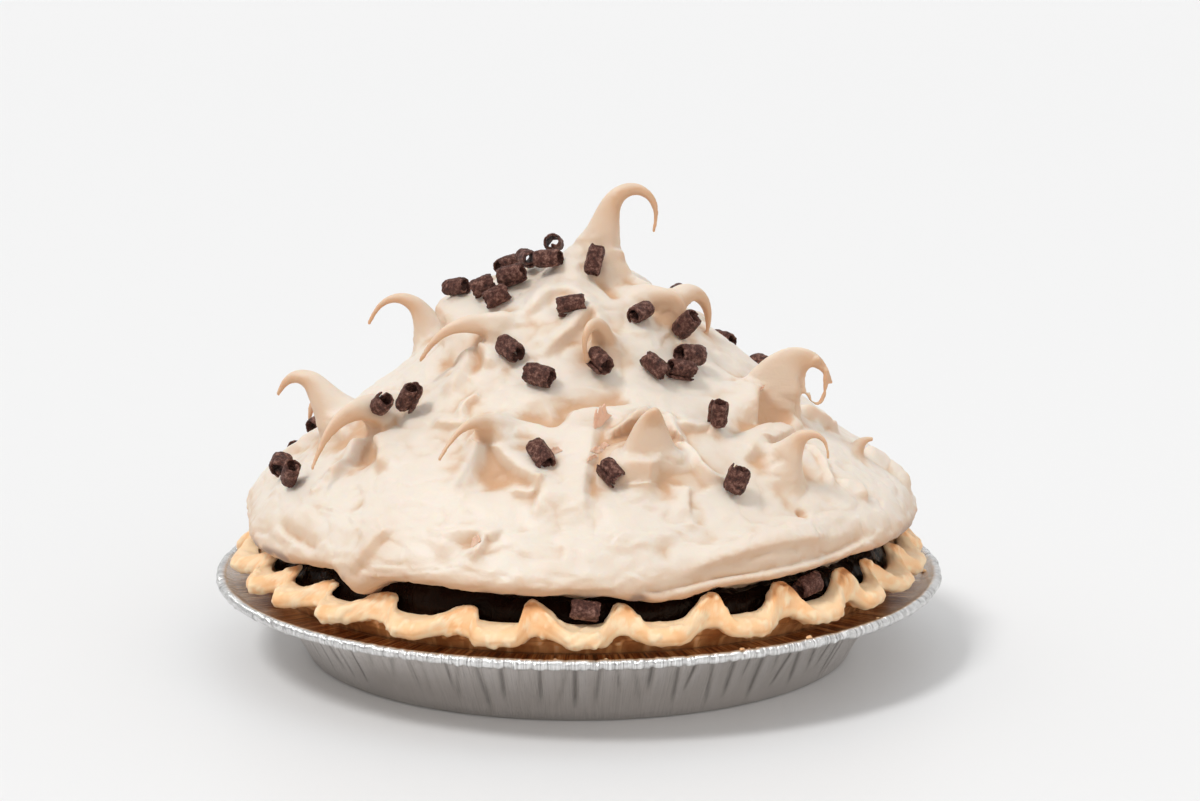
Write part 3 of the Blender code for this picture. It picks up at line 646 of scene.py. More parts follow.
def peak_line(foot, heading, start, bend, length, bend_from):
    """Points and directions along a peak, which rises and then curls over like a wave."""
    along = np.linspace(0.0, 1.0, PEAK_STEPS)
    angle = np.radians(start - bend * smooth((along - bend_from) / (0.97 - bend_from)))
    ahead = from_polar(1000.0, heading, 0.0)
    direction = np.outer(np.cos(angle), ahead) + np.outer(np.sin(angle), (0.0, 0.0, 1.0))
    travel = np.vstack([np.zeros(3), np.cumsum(direction[:-1], axis=0)])
    return foot + travel * length * MM / (PEAK_STEPS - 1), direction, along


slope_surface = surface_of(meringue)
spines = {}
strand_line = through(np.array(STRAND) * MM, STRAND_STEPS)
strand_way = np.gradient(strand_line, axis=0)
around = np.linspace(0.0, 2 * math.pi, STRAND_SIDES, endpoint=False)
rings = []
for middle, heads, share in zip(strand_line, strand_way, np.linspace(0.0, 1.0, STRAND_STEPS)):
    heads = Vector(heads).normalized()
    aside = heads.cross(Vector((0.0, 1.0, 0.0))).normalized()
    over = heads.cross(aside)
    thick = (1.0 - 0.2 * share) * MM
    rings.append(middle + thick * (np.outer(np.cos(around), aside) + np.outer(np.sin(around), over)))
pulled = [tube("strand", rings)]
around = np.linspace(0.0, 2 * math.pi, PEAK_SIDES, endpoint=False)
for name, (azimuth_at, height_at, *shape) in PEAKS.items():
    heading, start, bend, length, width, breadth, hollow, bend_from, thins = shape
    foot, facing = place_on(slope_surface, azimuth_at, height_at)
    line, direction, along = peak_line(foot, heading, start, bend, length, bend_from)
    across = np.cross((0.0, 0.0, 1.0), from_polar(1000.0, heading, 0.0))
    flare = 0.5 * bump(along, 0.16) * math.sin(math.radians(start)) * max(1.0, length / 30.0)
    flare *= min(1.0, 18.0 / width)
    taper = 0.85 * (1.0 - along) ** thins + flare
    centre = line - np.outer(flare * width / 2 * MM, facing)
    root = line[0] - direction[0] * PEAK_ROOT * MM - facing * 0.75 * width * MM
    centre = np.vstack([root, centre])
    direction = np.vstack([direction[:1], direction])
    taper = np.concatenate([[1.0], taper])
    rings = []
    for middle, heads, size in zip(centre, direction, taper):
        inside = np.cross(across, heads)
        half_width = width / 2 * size + PEAK_TIP
        half_breadth = breadth / 2 * size + PEAK_TIP
        bite = hollow * half_width * (np.cos(around) ** 2 - 0.5)
        rings.append(middle + np.outer(np.cos(around) * half_breadth * MM, across)
                     - np.outer((np.sin(around) * half_width - bite) * MM, inside))
    spines[name] = (foot, line, taper[1:] * max(width, breadth) / 2 + PEAK_TIP)
    pulled.append(tube("peak_" + name, rings))
for peak in pulled:
    peak.select_set(True)
meringue.select_set(True)
bpy.context.view_layer.objects.active = meringue
bpy.ops.object.join()
bpy.ops.object.select_all(action="DESELECT")


def apply_modifier(piece, kind, **settings):
    modifier = piece.modifiers.new(kind.lower(), kind)
    for key, value in settings.items():
        setattr(modifier, key, value)
    bpy.context.view_layer.objects.active = piece
    bpy.ops.object.modifier_apply(modifier=modifier.name)


VOXEL = 0.56
apply_modifier(meringue, "REMESH", mode="VOXEL", voxel_size=VOXEL * MM, use_smooth_shade=True)
# How near each point is to a peak's foot, where the join is smoothed, and whether it is on a peak
points = points_of(meringue)
joins = meringue.vertex_groups.new(name="joins")
blend, stem = np.zeros(len(points)), np.zeros(len(points))
for name, (foot, line, thick) in spines.items():
    reach = 0.68 * max(PEAKS[name][6:8])
    from_foot = np.linalg.norm(points - foot, axis=1) / MM
    near = np.nonzero(from_foot < max(2.3 * reach, PEAKS[name][5] + 6.0))[0]
    gaps = np.linalg.norm(points[near][:, None, :] - line[None, ::2, :], axis=2)
    closest = np.argmin(gaps, axis=1)
    share = closest / (gaps.shape[1] - 1)
    inside = 1.35 * thick[::2][closest] + 1.2 - gaps[np.arange(len(near)), closest] / MM
    stem[near] = np.maximum(stem[near], smooth((share - 0.1) / 0.15) * smooth(inside / 0.8))
    weight = smooth((2.2 * reach - from_foot[near]) / (0.9 * reach)) * (1.0 - smooth((share - 0.1) / 0.22))
    blend[near] = np.maximum(blend[near], weight)
for weight in range(1, 11):
    chosen = np.nonzero(np.round(blend * 10) == weight)[0]
    joins.add(chosen.tolist(), weight / 10, "REPLACE")
apply_modifier(meringue, "SMOOTH", factor=0.5, iterations=150, vertex_group="joins")
apply_modifier(meringue, "SMOOTH", factor=0.5, iterations=2)

# Folds pressed into the mound: the azimuths and heights that each runs through, how far it stands
# out (or is sunk, if negative), and its width on the left and on the right of the way it runs, mm
FOLDS = (
    (((18.5, 94), (11.8, 94.2), (-1, 93.6), (-5.9, 89.2), (-12.5, 90.5), (-21.7, 89.5)), -1.7, 1.3, 5.5),
    (((-28.7, 87.5), (-32.1, 86.7), (-40.3, 86.2)), 1.0, 1.0, 4.0),
    (((4.4, 90), (3, 82.1), (1.7, 76.7), (1, 70.6), (1.5, 62)), 1.5, 2.0, 9.0),
    (((-6.6, 74.7), (-8.5, 71), (-10.8, 70.9), (-14.2, 72.3)), 1.2, 1.0, 3.0),
    (((33.3, 83.8), (34, 85.8), (29.1, 86.3), (24.3, 88.1)), 1.4, 1.0, 3.5),
    (((-32.3, 60.6), (-34.4, 56.8), (-35.7, 52.4), (-37.9, 47.7), (-38.9, 43)), 1.3, 1.3, 7.0),
    (((-13.3, 59.4), (-15.1, 60), (-15.8, 56.5), (-17.2, 53.8)), 1.5, 1.0, 3.0),
    (((-15.6, 58.8), (-18.7, 57.9), (-20.2, 54.9), (-24, 51.7)), -0.7, 1.8, 3.5),
    (((46.2, 53.9), (33.8, 55.1), (25, 53.4), (15.6, 50)), 1.5, 1.3, 6.0),
    (((60, 52), (45.9, 50.5), (34.5, 49.3), (20, 47), (12.5, 45.3), (6.5, 47), (1.4, 46.5)), -1.2, 1.2, 2.5),
    (((22.3, 72.3), (20.7, 66.6), (20.5, 63.6)), 0.9, 1.0, 4.0),
    (((60.4, 59.6), (61.9, 63.1), (58.4, 66.7)), 1.2, 4.0, 1.2),
    (((70, 78.7), (64.6, 82.3), (50.2, 85.1), (36.6, 82.9)), -1.5, 1.3, 5.0),
    (((8.1, 119.8), (-5.3, 124), (-18.8, 123), (-27.4, 118.4), (-40.2, 117.3)), 0.9, 1.4, 4.0),
    (((25.9, 121.5), (19, 125.4), (7.9, 126.9), (-5.2, 128.9)), -0.7, 1.0, 2.5),
    (((36, 130), (50, 127), (57, 123), (58, 119), (52, 114)), 1.5, 2.0, 2.8),
    (((-14, 131), (-22, 128), (-26, 124), (-31, 118)), 0.8, 4.5, 3.0),
    (((11.3, 107), (10.4, 112.4), (9.2, 117.5), (4.8, 118.2), (-3.1, 113.4), (-10.7, 108.4),
      (-18.1, 104.5)), 1.7, 1.6, 4.0),
    (((-30.1, 95.1), (-33.1, 92.4), (-32.5, 88.2)), 1.3, 1.2, 2.0),
    (((-61, 79), (-56.7, 73), (-57.2, 68.5), (-58, 64.5)), 1.7, 1.9, 4.0),
    (((-54, 80), (-49.3, 78.2), (-46.6, 75.9), (-44.0, 72)), 1.7, 5.0, 1.8),
    (((-26.4, 85), (-23, 82.2), (-22.2, 75.2), (-22.5, 69)), 1.7, 2.0, 4.5),
    (((-21.2, 84.6), (-15.8, 79.7), (-10.3, 75.8), (-7.4, 72.7), (-6.6, 69.8), (-8.2, 62)), 1.8, 5.0, 1.7),
    (((-50, 107), (-44.5, 103), (-41.6, 98.4), (-40.4, 92.5)), 1.6, 1.8, 4.0),
    (((-44, 108.5), (-36.8, 105), (-32.7, 101.5)), 1.5, 5.0, 1.8),
    (((24.8, 92), (24, 84.5), (25.8, 77.9), (28, 73.5), (33, 71)), 1.8, 2.2, 2.2),
    (((19.5, 92), (16.1, 81.7), (13.7, 74), (12.8, 66)), 2.4, 3.0, 8.0),
    (((7, 85), (12.7, 87.1), (17.3, 90.2), (22, 93.9)), 1.5, 1.5, 3.0),
    (((66, 92), (60, 91), (54, 88.9), (49.5, 85)), 2.8, 2.2, 6.0),
    (((78, 84), (81.5, 78.6), (88, 73)), 2.0, 2.0, 2.0),
    (((75.4, 86.8), (70.9, 84.0), (69, 80)), 1.4, 1.2, 1.8),
    (((62, 77), (60.8, 72.4), (57.5, 68.1), (54, 64)), 1.1, 2.0, 1.6),
    (((62, 79.7), (50, 80), (42, 79), (34.8, 77)), 2.2, 2.2, 6.0),
    (((88, 68), (91, 62), (90, 56), (87, 51)), 1.8, 1.2, 5.0),
    (((-47.9, 50.2), (-57.1, 51.1), (-63.4, 53.5)), -0.9, 1.2, 3.0),
    (((-88, 74), (-86, 68), (-89, 60)), 1.5, 2.0, 3.5),
)
FOLD_DEPTH = 1.7
# Hollows and knobs: azimuth, height, how far it stands out, width
DENTS = ((-54, 75, -3.6, 5.5), (-16.5, 76, -3.4, 6), (-42, 103, -2.6, 4.5), (-57, 101, -1.5, 4.5),
         (72, 87, -3.0, 7), (50, 74, -2.0, 7), (19.5, 84, -1.8, 6), (14.6, 56, -1.3, 3.2),
         (41.5, 65.9, -0.9, 5), (43, 61.8, -2.4, 1.6), (20.5, 63, 0.9, 2.2), (-44, 64, -0.7, 2.5),
         (62, 90, 0.9, 2.0), (12, 114, -1.4, 5), (-70, 88, -1.5, 6), (30, 61, 0.7, 8),
         (8, 66, 0.8, 9), (-30, 70, 0.9, 9), (-70, 62, 0.9, 10), (60, 60, 0.8, 8))


def hidden_folds():
    """Legs under each peak at the back, and strokes between them, like the ones that show."""
    draw = random.Random(19)
    folds, dents = [], []
    for name, (azimuth_at, height_at, *shape) in PEAKS.items():
        if not name.startswith("back"):
            continue
        for side, sharp in ((-1, (2.0, 1.4)), (1, (1.4, 2.0))):
            spread = side * draw.uniform(7, 11)
            drop = draw.uniform(11, 17)
            folds.append((((azimuth_at + 0.25 * spread, height_at + 1),
                           (azimuth_at + 0.7 * spread, height_at - 0.4 * drop),
                           (azimuth_at + spread, height_at - drop)),
                          draw.uniform(1.8, 2.8), *sharp))
        dents.append((azimuth_at, height_at - 7, draw.uniform(-2.6, -1.6), draw.uniform(5, 7)))
    for number in range(46):
        small = number >= 26
        if small:
            azimuth_at = draw.uniform(-180, 180)
            height_at = draw.uniform(48, 122)
            run, fall = draw.uniform(-7, 7), draw.uniform(-7, 7)
            path = ((azimuth_at, height_at), (azimuth_at + 0.5 * run, height_at + 0.6 * fall),
                    (azimuth_at + run, height_at + fall))
            folds.append((path, draw.choice((-0.5, 0.45, 0.6)), draw.uniform(0.8, 1.2),
                          draw.uniform(2.0, 4.0)))
            continue
        azimuth_at = 180 + draw.uniform(-82, 82)
        height_at = draw.choice((50, 56, 66, 76, 88, 97, 108, 118, 125)) + draw.uniform(-3, 3)
        run = draw.uniform(9, 26) * (1.0 if height_at < 100 else 1.5)
        fall = draw.uniform(-6, 6)
        path = tuple((azimuth_at + run * (share - 0.5) * -1,
                      height_at + fall * share + draw.uniform(-1.5, 1.5))
                     for share in (0.0, 0.35, 0.7, 1.0))
        folds.append((path, draw.choice((-1.3, 1.1, 1.5)), draw.uniform(1.0, 1.6),
                      draw.uniform(3.5, 7.0)))
    return tuple(folds), tuple(dents)


back_folds, back_dents = hidden_folds()
points, normals = points_of(meringue), normals_of(meringue)
relief = np.zeros(len(points))
for path, amount, left, right in FOLDS + back_folds:
    on_slope = [place_on(slope_surface, azimuth_at, height_at)[0] for azimuth_at, height_at in path]
    samples = through(on_slope, 13 * len(path))
    facing = np.array([slope_surface.find_nearest(Vector(sample))[1] for sample in samples])
    tangent = np.gradient(samples, axis=0)
    tangent /= np.linalg.norm(tangent, axis=1)[:, None]
    reach = 2.4 * max(left, right) * MM
    near = np.nonzero(np.all((points > samples.min(0) - reach) & (points < samples.max(0) + reach),
                             axis=1))[0]
    offset = points[near][:, None, :] - samples[None, :, :]
    closest = np.argmin(np.einsum("ijk,ijk->ij", offset, offset), axis=1)
    pick = offset[np.arange(len(near)), closest]
    sideways = np.cross(facing, tangent)[closest]
    beside = np.einsum("ij,ij->i", pick, sideways) / MM
    beyond = np.einsum("ij,ij->i", pick, tangent[closest]) / MM
    beyond = np.where((closest == 0) | (closest == len(samples) - 1), beyond, 0.0)
    share = closest / (len(samples) - 1)
    fade = smooth(share / 0.16) * smooth((1.0 - share) / 0.3)
    facing_same = np.clip(np.einsum("ij,ij->i", normals[near], facing[closest]), 0.0, 1.0)
    relief[near] += (FOLD_DEPTH * amount * fade * facing_same * bump(beyond, 2.5)
                     * bump(beside, np.where(beside > 0, left, right)))
relief *= 1.0 - stem
for azimuth_at, height_at, amount, width in DENTS + back_dents:
    spot = place_on(slope_surface, azimuth_at, height_at)[0]
    relief += amount * bump(np.linalg.norm(points - spot, axis=1) / MM, width)

radius, azimuth, height = polar_of(points)
low_band = smooth((66.0 - height) / 14.0)
flow = np.stack([radius * np.sin(np.radians(azimuth)), radius * np.cos(np.radians(azimuth)),
                 height * (1.7 + 0.8 * low_band)], -1)
broad = grain(flow, 26.0, 5.0, 2)
ridge = 1.0 - np.abs(grain(flow + 6.0 * broad[:, None], 15.0, 9.0, 2)) * 2.2
small = grain(flow, 5.0, 13.0, 3)
open_slope = smooth((height - CREAM_LEVEL - 1.0) / 3.0)
billow = np.maximum(1.0 - 5.0 * np.abs(grain(flow + 5.0 * broad[:, None], 17.0, 23.0, 2)), 0.0)
relief += open_slope * (1.0 - 0.8 * stem) * (0.9 * broad + 0.22 * np.maximum(ridge, -0.6) + 0.26 * small
                                             - 0.34 * billow)

# Where the curls lie: the middle, axis, length and radius of each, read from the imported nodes
curls = []
for name in sorted(frame["nodes"]):
    if not name.startswith("chocolate_curl"):
        continue
    corners = np.unique(np.round(points_of(frame["nodes"][name]), 6), axis=0)
    axis = np.linalg.eigh(np.cov((corners - corners.mean(0)).T))[1][:, 2]
    run = (corners - corners.mean(0)) @ axis
    middle = corners.mean(0) + axis * (run.max() + run.min()) / 2
    off = corners - middle
    out = np.linalg.norm(off - np.outer(off @ axis, axis), axis=1).max()
    curls.append((name, middle, axis, run.max() - run.min(), out))
# The meringue comes up in a low collar round each
for name, middle, axis, length, out in curls:
    away = np.linalg.norm(points - middle, axis=1) / MM
    relief += 0.95 * bump(np.maximum(away - out / MM, 0.0), 1.5) * (away < 9.0)
place_points(meringue, points + normals * (relief * MM)[:, None])
apply_modifier(meringue, "SMOOTH", factor=0.5, iterations=1)

# Anything that the remesh left loose is deleted
bpy.ops.object.select_all(action="DESELECT")
meringue.select_set(True)
bpy.ops.object.mode_set(mode="EDIT")
bpy.ops.mesh.select_all(action="DESELECT")
bpy.ops.object.mode_set(mode="OBJECT")
meringue.data.vertices[int(np.argmax(points[:, 0]))].select = True
bpy.ops.object.mode_set(mode="EDIT")
bpy.ops.mesh.select_mode(type="VERT")
bpy.ops.mesh.select_linked()
bpy.ops.mesh.select_all(action="INVERT")
bpy.ops.mesh.delete(type="VERT")
bpy.ops.object.mode_set(mode="OBJECT")
MERINGUE_TRIANGLES = 190000
faces_now = sum(len(face.vertices) - 2 for face in meringue.data.polygons)
apply_modifier(meringue, "DECIMATE", ratio=min(1.0, MERINGUE_TRIANGLES / faces_now),
               use_collapse_triangulate=True)
bpy.ops.object.shade_smooth()

points, normals = points_of(meringue), normals_of(meringue)
edges = np.empty(len(meringue.data.edges) * 2, int)
meringue.data.edges.foreach_get("vertices", edges)
edges = edges.reshape(-1, 2)
beside_count = np.bincount(edges.ravel(), minlength=len(points))[:, None]


def spread_out(values, rounds):
    """The values averaged with their neighbours' along the mesh, a number of rounds over."""
    for step in range(rounds):
        total = np.stack([np.bincount(edges[:, 0], column[edges[:, 1]], len(points))
                          + np.bincount(edges[:, 1], column[edges[:, 0]], len(points))
                          for column in values.T], -1)
        values = 0.5 * values + 0.5 * total / beside_count
    return values


# Painted shade: hollows and steep and downward-facing faces are painted a darker tan, as is shade; thin
# peaks and ridges are painted tan as well, deeper on their sides turned from the key light
TO_LIGHT = (-0.44, -0.35, 0.83)
near_hollow = np.einsum("ij,ij->i", spread_out(points, 16) - points, normals) / MM
wide_hollow = np.einsum("ij,ij->i", spread_out(points, 180) - points, normals) / MM
thin = 0.5 * smooth((-wide_hollow - 1.2) / 2.5)
for name, (foot, line, thick) in spines.items():
    gap = np.linalg.norm(points[:, None, :] - line[None, 12::3, :], axis=2) / MM
    closest = np.argmin(gap, axis=1)
    gap = gap[np.arange(len(points)), closest]
    slender = smooth((6.0 - thick[12::3][closest]) / 4.0)
    thin = np.maximum(thin, bump(np.maximum(gap - 2.0, 0.0), 4.0) * slender)
unlit = smooth((0.8 - normals @ np.array(TO_LIGHT)) / 1.0)
tan_and_painted_shade = 0.8 * smooth((near_hollow - 0.06) / 0.6) + 0.9 * smooth((wide_hollow - 0.2) / 1.6)
tan_and_painted_shade = tan_and_painted_shade + (0.45 + 0.5 * unlit) * thin
tan_and_painted_shade = tan_and_painted_shade + 0.4 * smooth(0.1 - normals[:, 2] / 0.7) + 0.55 * smooth((0.70 - normals[:, 2]) / 0.45)
tan_and_painted_shade = spread_out(np.clip(tan_and_painted_shade, 0.0, 1.0)[:, None], 2)[:, 0]
attach(meringue, "tan_and_painted_shade", tan_and_painted_shade)
# Painted shadow: a dark ring just below each curl, set a little down and to the right, where its shade
# falls; the lip is also darkened in patches, and low down at azimuth 70
painted_curl_shadow_and_dark_lip = np.zeros(len(points))
for name, middle, axis, length, out in curls:
    away = np.linalg.norm(points - middle - np.array((0.6, 0.0, -1.6)) * MM, axis=1) / MM
    painted_curl_shadow_and_dark_lip = np.maximum(painted_curl_shadow_and_dark_lip, bump(np.maximum(away - 2.6, 0.0), 1.5))
radius, azimuth, height = polar_of(points)
hem = smooth((46.5 - height) / 2.5) * smooth((radius - 100.0) / 4.0)
painted_curl_shadow_and_dark_lip = np.maximum(0.55 * painted_curl_shadow_and_dark_lip, hem * smooth(grain(points / MM, 9.0, 31.0, 2) * 2.4 - 0.2))
painted_curl_shadow_and_dark_lip = np.maximum(painted_curl_shadow_and_dark_lip, 0.9 * bump(apart(azimuth, 70.0), 9.0) * smooth((51.0 - height) / 3.5))
attach(meringue, "painted_curl_shadow_and_dark_lip", painted_curl_shadow_and_dark_lip)

# The body runs from cream to a darker tan with the stored tan, which is mostly painted shade, unsettled by
# noise
cream_white, nodes, place, shader = nodes_for("soft_meringue")
tone = grained(nodes, place, 38.0, 3.0, 0.5, Value=stored(nodes, "tan_and_painted_shade"), Swing=0.5,
               Offset=-0.25)["Shifted"]
pores = grained(nodes, place, 700.0, 5.0, 0.6)["Grain"]
lengthened = add_node(nodes, "Mapping", {"Vector": place, "Scale": (0.6, 0.6, 1.6)})["Vector"]
dragged = grained(nodes, lengthened, 190.0, 4.0, 0.55)["Grain"]
speck = add_node(nodes, "TexVoronoi", {"Vector": place, "Scale": 105.0})
body = coloured(nodes, tone, (0.0, (0.815, 0.725, 0.625)), (0.4, (0.750, 0.598, 0.462)),
                (1.0, (0.650, 0.405, 0.245)))
dots = coloured(nodes, speck["Distance"], (0.0, grey(1.0)), (0.045, grey(1.0)), (0.06, grey(0.0)))
rare = coloured(nodes, speck["Color"], (0.0, grey(0.0)), (0.86, grey(0.0)), (0.9, grey(0.85)))
flecked = mixed(nodes, worked(nodes, "MULTIPLY", dots, rare), body, (0.16, 0.085, 0.05, 1.0))
# Dark brown is mixed in as painted shadow below the curls and as dark patches along the lip
feed(shader, {
    "Base Color": mixed(nodes, stored(nodes, "painted_curl_shadow_and_dark_lip"), flecked, (0.33, 0.215, 0.16, 1.0)),
    "Roughness": 0.46, "Specular IOR Level": 0.4, "Subsurface Weight": 0.4,
    "Subsurface Radius": (1.0, 0.55, 0.32), "Subsurface Scale": 0.0025,
    "Normal": rough_skin(nodes, dragged, 0.3, 0.0008, Normal=rough_skin(nodes, pores, 0.35, 0.0003))})
finish_piece(meringue, cream_white, "meringue", "meringue")


# The curls are shavings of dark chocolate, each rolled into a short barrel a little more than once
# round, with a rough, dented skin and broken ends. They were scattered last and stick in place.
CURL_WALL = 0.9
CURL_ACROSS = 46
CURL_ALONG = 12
rolls = []
ground_under = surface_of(meringue)
for count, (name, middle, axis, length, out) in enumerate(curls):
    draw = random.Random(300 + count)
    axis = Vector(axis)
    ground = ground_under.find_nearest(Vector(middle))[0]
    side = (ground - Vector(middle)).cross(axis).normalized()
    seam = Matrix((axis.cross(side), side, axis)).transposed()
    turn_to = seam @ Matrix.Rotation(draw.uniform(-1.1, 1.1), 3, "Z")
    outer = out / MM - CURL_WALL / 2 + 0.1
    turns = draw.uniform(0.98, 1.22)
    flat_sides = draw.uniform(0.02, 0.075), draw.uniform(0, math.tau), draw.uniform(0, math.tau)
    bpy.ops.mesh.primitive_grid_add(x_subdivisions=CURL_ACROSS, y_subdivisions=CURL_ALONG, size=1.0)
    roll = bpy.context.object
    roll.name = roll.data.name = "roll"
    flat_points = points_of(roll)
    turned_by, lengthwise = (flat_points[:, 0] + 0.5) * turns, flat_points[:, 1] * 2.0
    angle = turned_by * math.tau
    skin = np.stack([3.0 * np.cos(angle), 3.0 * np.sin(angle), 4.0 * lengthwise + 9.0 * turned_by], -1)
    end_ragged = grain(np.stack([np.cos(angle) * 3.0, np.sin(angle) * 3.0,
                                 np.sign(lengthwise) * 30.0 + turned_by], -1), 1.8, 44.0 + count, 2)
    rough = grain(skin, 1.5, 60.0 + count, 3)
    distance = outer - 0.2 * turned_by - (CURL_WALL + 0.1) * smooth((turned_by - 0.74) / 0.3)
    distance = distance * (1.0 + flat_sides[0] * np.cos(2 * angle + flat_sides[1])
                           + 0.7 * flat_sides[0] * np.cos(3 * angle + flat_sides[2]))
    distance = distance + 0.26 * rough - 0.25 * np.abs(lengthwise) ** 6
    reach = length / MM / 2 * (0.97 + 0.13 * end_ragged * np.abs(lengthwise) ** 2)
    spiral = np.stack([distance * np.cos(angle), distance * np.sin(angle), lengthwise * reach], -1)
    place_points(roll, spiral @ np.array(turn_to).T * MM + middle)
    walls = roll.vertex_groups.new(name="walls")
    for index, weight in enumerate(1.0 - 0.55 * np.abs(lengthwise) ** 8):
        walls.add([index], weight, "REPLACE")
    apply_modifier(roll, "SOLIDIFY", thickness=CURL_WALL * MM, offset=0.0, vertex_group="walls")
    rolls.append(roll)


def joined(pieces, name):
    """The pieces as one object at the origin, with their normals outward."""
    bpy.ops.object.select_all(action="DESELECT")
    for piece in pieces:
        piece.select_set(True)
    bpy.context.view_layer.objects.active = pieces[0]
    bpy.ops.object.join()
    whole = bpy.context.object
    whole.name = whole.data.name = name
    bpy.ops.object.mode_set(mode="EDIT")
    face_outwards()
    bpy.ops.object.transform_apply(location=True, rotation=True, scale=True)
    return whole


curl_heap = joined(rolls, "chocolate_curls_rolled")
bpy.ops.object.shade_smooth_by_angle(angle=math.radians(50))

shaving, nodes, place, shader = nodes_for("dark_chocolate_shaving")
scuff = grained(nodes, place, 620.0, 6.0, 0.75)["Grain"]
bloom = grained(nodes, place, 130.0, 3.0, 0.6)["Grain"]
feed(shader, {
    "Base Color": coloured(nodes, scuff, (0.34, (0.024, 0.008, 0.005)), (0.5, (0.112, 0.038, 0.026)),
                           (0.66, (0.38, 0.195, 0.145))),
    "Roughness": coloured(nodes, bloom, (0.35, grey(0.40)), (0.65, grey(0.70))),
    "Specular IOR Level": 0.3, "Normal": rough_skin(nodes, scuff, 1.0, 0.0012)})
finish_piece(curl_heap, shaving, "chocolate_curl", *[row[0] for row in curls])


# Thin flakes of toasted meringue broke off the peaks and lie on the slope, curled and torn: the
# azimuth and height of each, its length, width and roll, and how far it stands up from the slope
FLAKES = ((6.4, 88.6, 8.6, 6.4, 38, 62), (4.6, 81.6, 5.6, 1.8, -25, 20), (6.4, 82.6, 4.4, 1.5, 60, 35),
          (3.2, 80.4, 4.8, 1.3, 10, 30), (-4.9, 81.4, 4.6, 1.9, 35, 40), (-16.6, 58.4, 5.2, 2.6, 50, 30),
          (60.5, 93.0, 3.6, 2.4, 20, 50), (-122.0, 84.0, 6.0, 3.0, 20, 30), (158.0, 92.0, 5.0, 3.0, -30, 30))
FLAKE_THICK = 0.45
flakes = []
for number, (azimuth_at, height_at, length, width, roll, stand) in enumerate(FLAKES):
    spot, facing = place_on(ground_under, azimuth_at, height_at)
    level = np.cross((0.0, 0.0, 1.0), facing)
    level /= np.linalg.norm(level)
    upslope = np.cross(facing, level)
    lengthways = level * math.cos(math.radians(roll)) + upslope * math.sin(math.radians(roll))
    lying = np.cross(facing, lengthways)
    rising = lying * math.cos(math.radians(stand)) + facing * math.sin(math.radians(stand))
    bpy.ops.mesh.primitive_grid_add(x_subdivisions=24, y_subdivisions=12, size=1.0)
    flake = bpy.context.object
    flake.name = flake.data.name = "flake"
    flat_points = points_of(flake)
    run, up = flat_points[:, 0] * 2.0, flat_points[:, 1] + 0.42
    torn = grain(np.stack([run * 3.0, up * 3.0, np.full(len(run), 9.0 * number)], -1), 1.6, 51.0, 3)
    run = run * (1.0 - 0.55 * np.clip(up, 0.0, 1.0) ** 1.4) + 0.16 * torn * np.abs(run)
    up = up * (1.0 + 0.4 * torn * (up > 0.3))
    bulge = 0.16 * width * up ** 2 + 0.3 * torn + 0.06 * length * run ** 2
    sheet = (np.outer(run * length / 2, lengthways) + np.outer(up * width, rising)
             + np.outer(bulge, np.cross(lengthways, rising)))
    place_points(flake, spot + sheet * MM)
    apply_modifier(flake, "SOLIDIFY", thickness=FLAKE_THICK * MM, offset=0.0)
    flakes.append(flake)

flakes = joined(flakes, "meringue_flakes")
bpy.ops.object.shade_smooth()
toasted, nodes, place, shader = nodes_for("toasted_meringue_flake")
toast = grained(nodes, place, 330.0, 4.0, 0.6)["Grain"]
feed(shader, {
    "Base Color": coloured(nodes, toast, (0.3, (0.86, 0.60, 0.46)), (0.75, (0.74, 0.43, 0.29))),
    "Roughness": 0.5, "Subsurface Weight": 0.3, "Subsurface Radius": (1.0, 0.5, 0.3),
    "Subsurface Scale": 0.0015})
finish_piece(flakes, toasted, "meringue")


# Crumbs of pastry fell from the crimps when the case was filled. They are rough little balls that
# lie on the flange, most of them in front.
CRUMB_COUNT = 18
draw = random.Random(77)
crumbs = []
for number in range(CRUMB_COUNT):
    azimuth_at = draw.gauss(4.0, 55.0)
    size = draw.uniform(0.4, 1.0)
    bpy.ops.mesh.primitive_ico_sphere_add(subdivisions=3, radius=size * MM)
    crumb = bpy.context.object
    crumb.name = crumb.data.name = "crumb"
    shape = points_of(crumb)
    squash = np.array((draw.uniform(0.8, 1.4), draw.uniform(0.8, 1.4), draw.uniform(0.6, 0.9)))
    rough = 1.0 + 0.4 * grain(shape / MM, 0.9, 80.0 + number, 2)
    spot = from_polar(draw.uniform(115.0, 118.4), azimuth_at, TIN_FLANGE + TIN_FOIL + 0.45 * size)
    place_points(crumb, shape * squash * rough[:, None] + spot)
    crumbs.append(crumb)
crumbs = joined(crumbs, "pastry_crumbs")
bpy.ops.object.shade_smooth()
attach(crumbs, "browning_and_painted_shade", np.full(len(crumbs.data.vertices), 0.3))
finish_piece(crumbs, pastry, "baked_pastry")


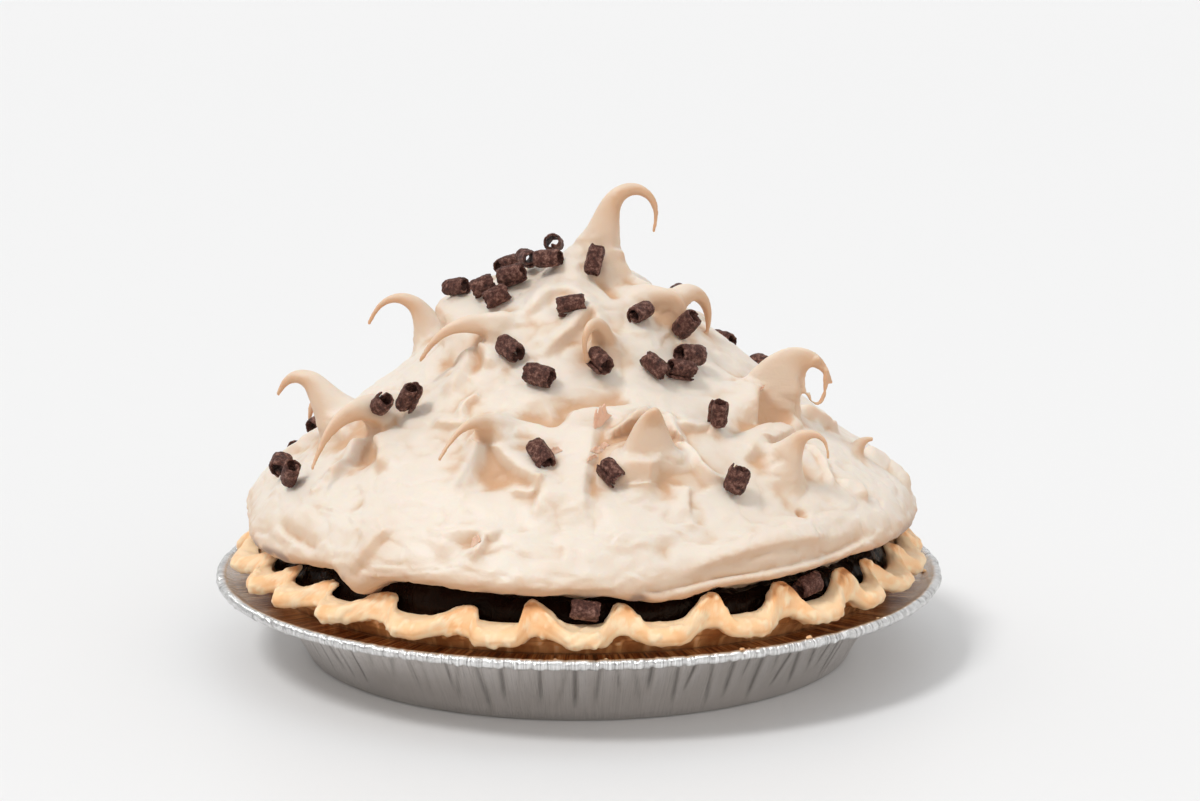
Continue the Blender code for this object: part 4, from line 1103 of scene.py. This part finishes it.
# The table is a plain pale sheet in a white room that is brightest above and behind, with a large
# soft light from the upper left in front, and a weaker one from the right.
FLOOR_SIZE = 60.0
bpy.ops.mesh.primitive_plane_add(size=FLOOR_SIZE, location=(0, 0, 0))
floor = bpy.context.object
floor.name = "floor"
paper, nodes, place, shader = nodes_for("pale_floor")
feed(shader, {"Base Color": (0.82, 0.82, 0.82, 1.0), "Roughness": 0.5, "Specular IOR Level": 0.5})
floor.data.materials.append(paper)

world = bpy.data.worlds.new("white_room")
bpy.context.scene.world = world
world.use_nodes = True
nodes = world.node_tree.nodes
direction = add_node(nodes, "TexCoord", {})["Generated"]
high_back = add_node(nodes, "VectorMath", {0: direction, 1: (0.0, 0.62, 0.78)}, operation="DOT_PRODUCT")
room = coloured(nodes, high_back["Value"], (0.0, grey(0.56)), (0.35, grey(0.78)), (0.85, grey(1.0)))
feed(nodes["Background"], {"Color": room, "Strength": 0.85})
for name, energy, spread, heading in (("key", 1.36, 15, (0.46, 0.36, -0.86)),
                                      ("fill", 0.55, 60, (-0.52, 0.76, -0.38))):
    bpy.ops.object.light_add(type="SUN", location=tuple(-1.5 * part for part in heading))
    lamp = bpy.context.object
    lamp.name = name
    lamp.data.energy = energy
    lamp.data.angle = math.radians(spread)
    lamp.rotation_euler = Vector(heading).to_track_quat("-Z", "Y").to_euler()

CAMERA_AWAY = 0.9
CAMERA_TILT = math.radians(10.8)
CAMERA_AIM = (0.0071, 0.0, 0.0833)
CAMERA_SENSOR = 36.0
CAMERA_LENS = 80.13
bpy.ops.object.camera_add(
    location=(CAMERA_AIM[0], -CAMERA_AWAY * math.cos(CAMERA_TILT),
              CAMERA_AIM[2] + CAMERA_AWAY * math.sin(CAMERA_TILT)),
    rotation=(math.pi / 2 - CAMERA_TILT, 0.0, 0.0))
camera = bpy.context.object
camera.data.sensor_width = CAMERA_SENSOR
camera.data.lens = CAMERA_LENS
bpy.context.scene.camera = camera
bpy.context.scene.view_settings.view_transform = "Standard"
bpy.context.scene.view_settings.look = "None"
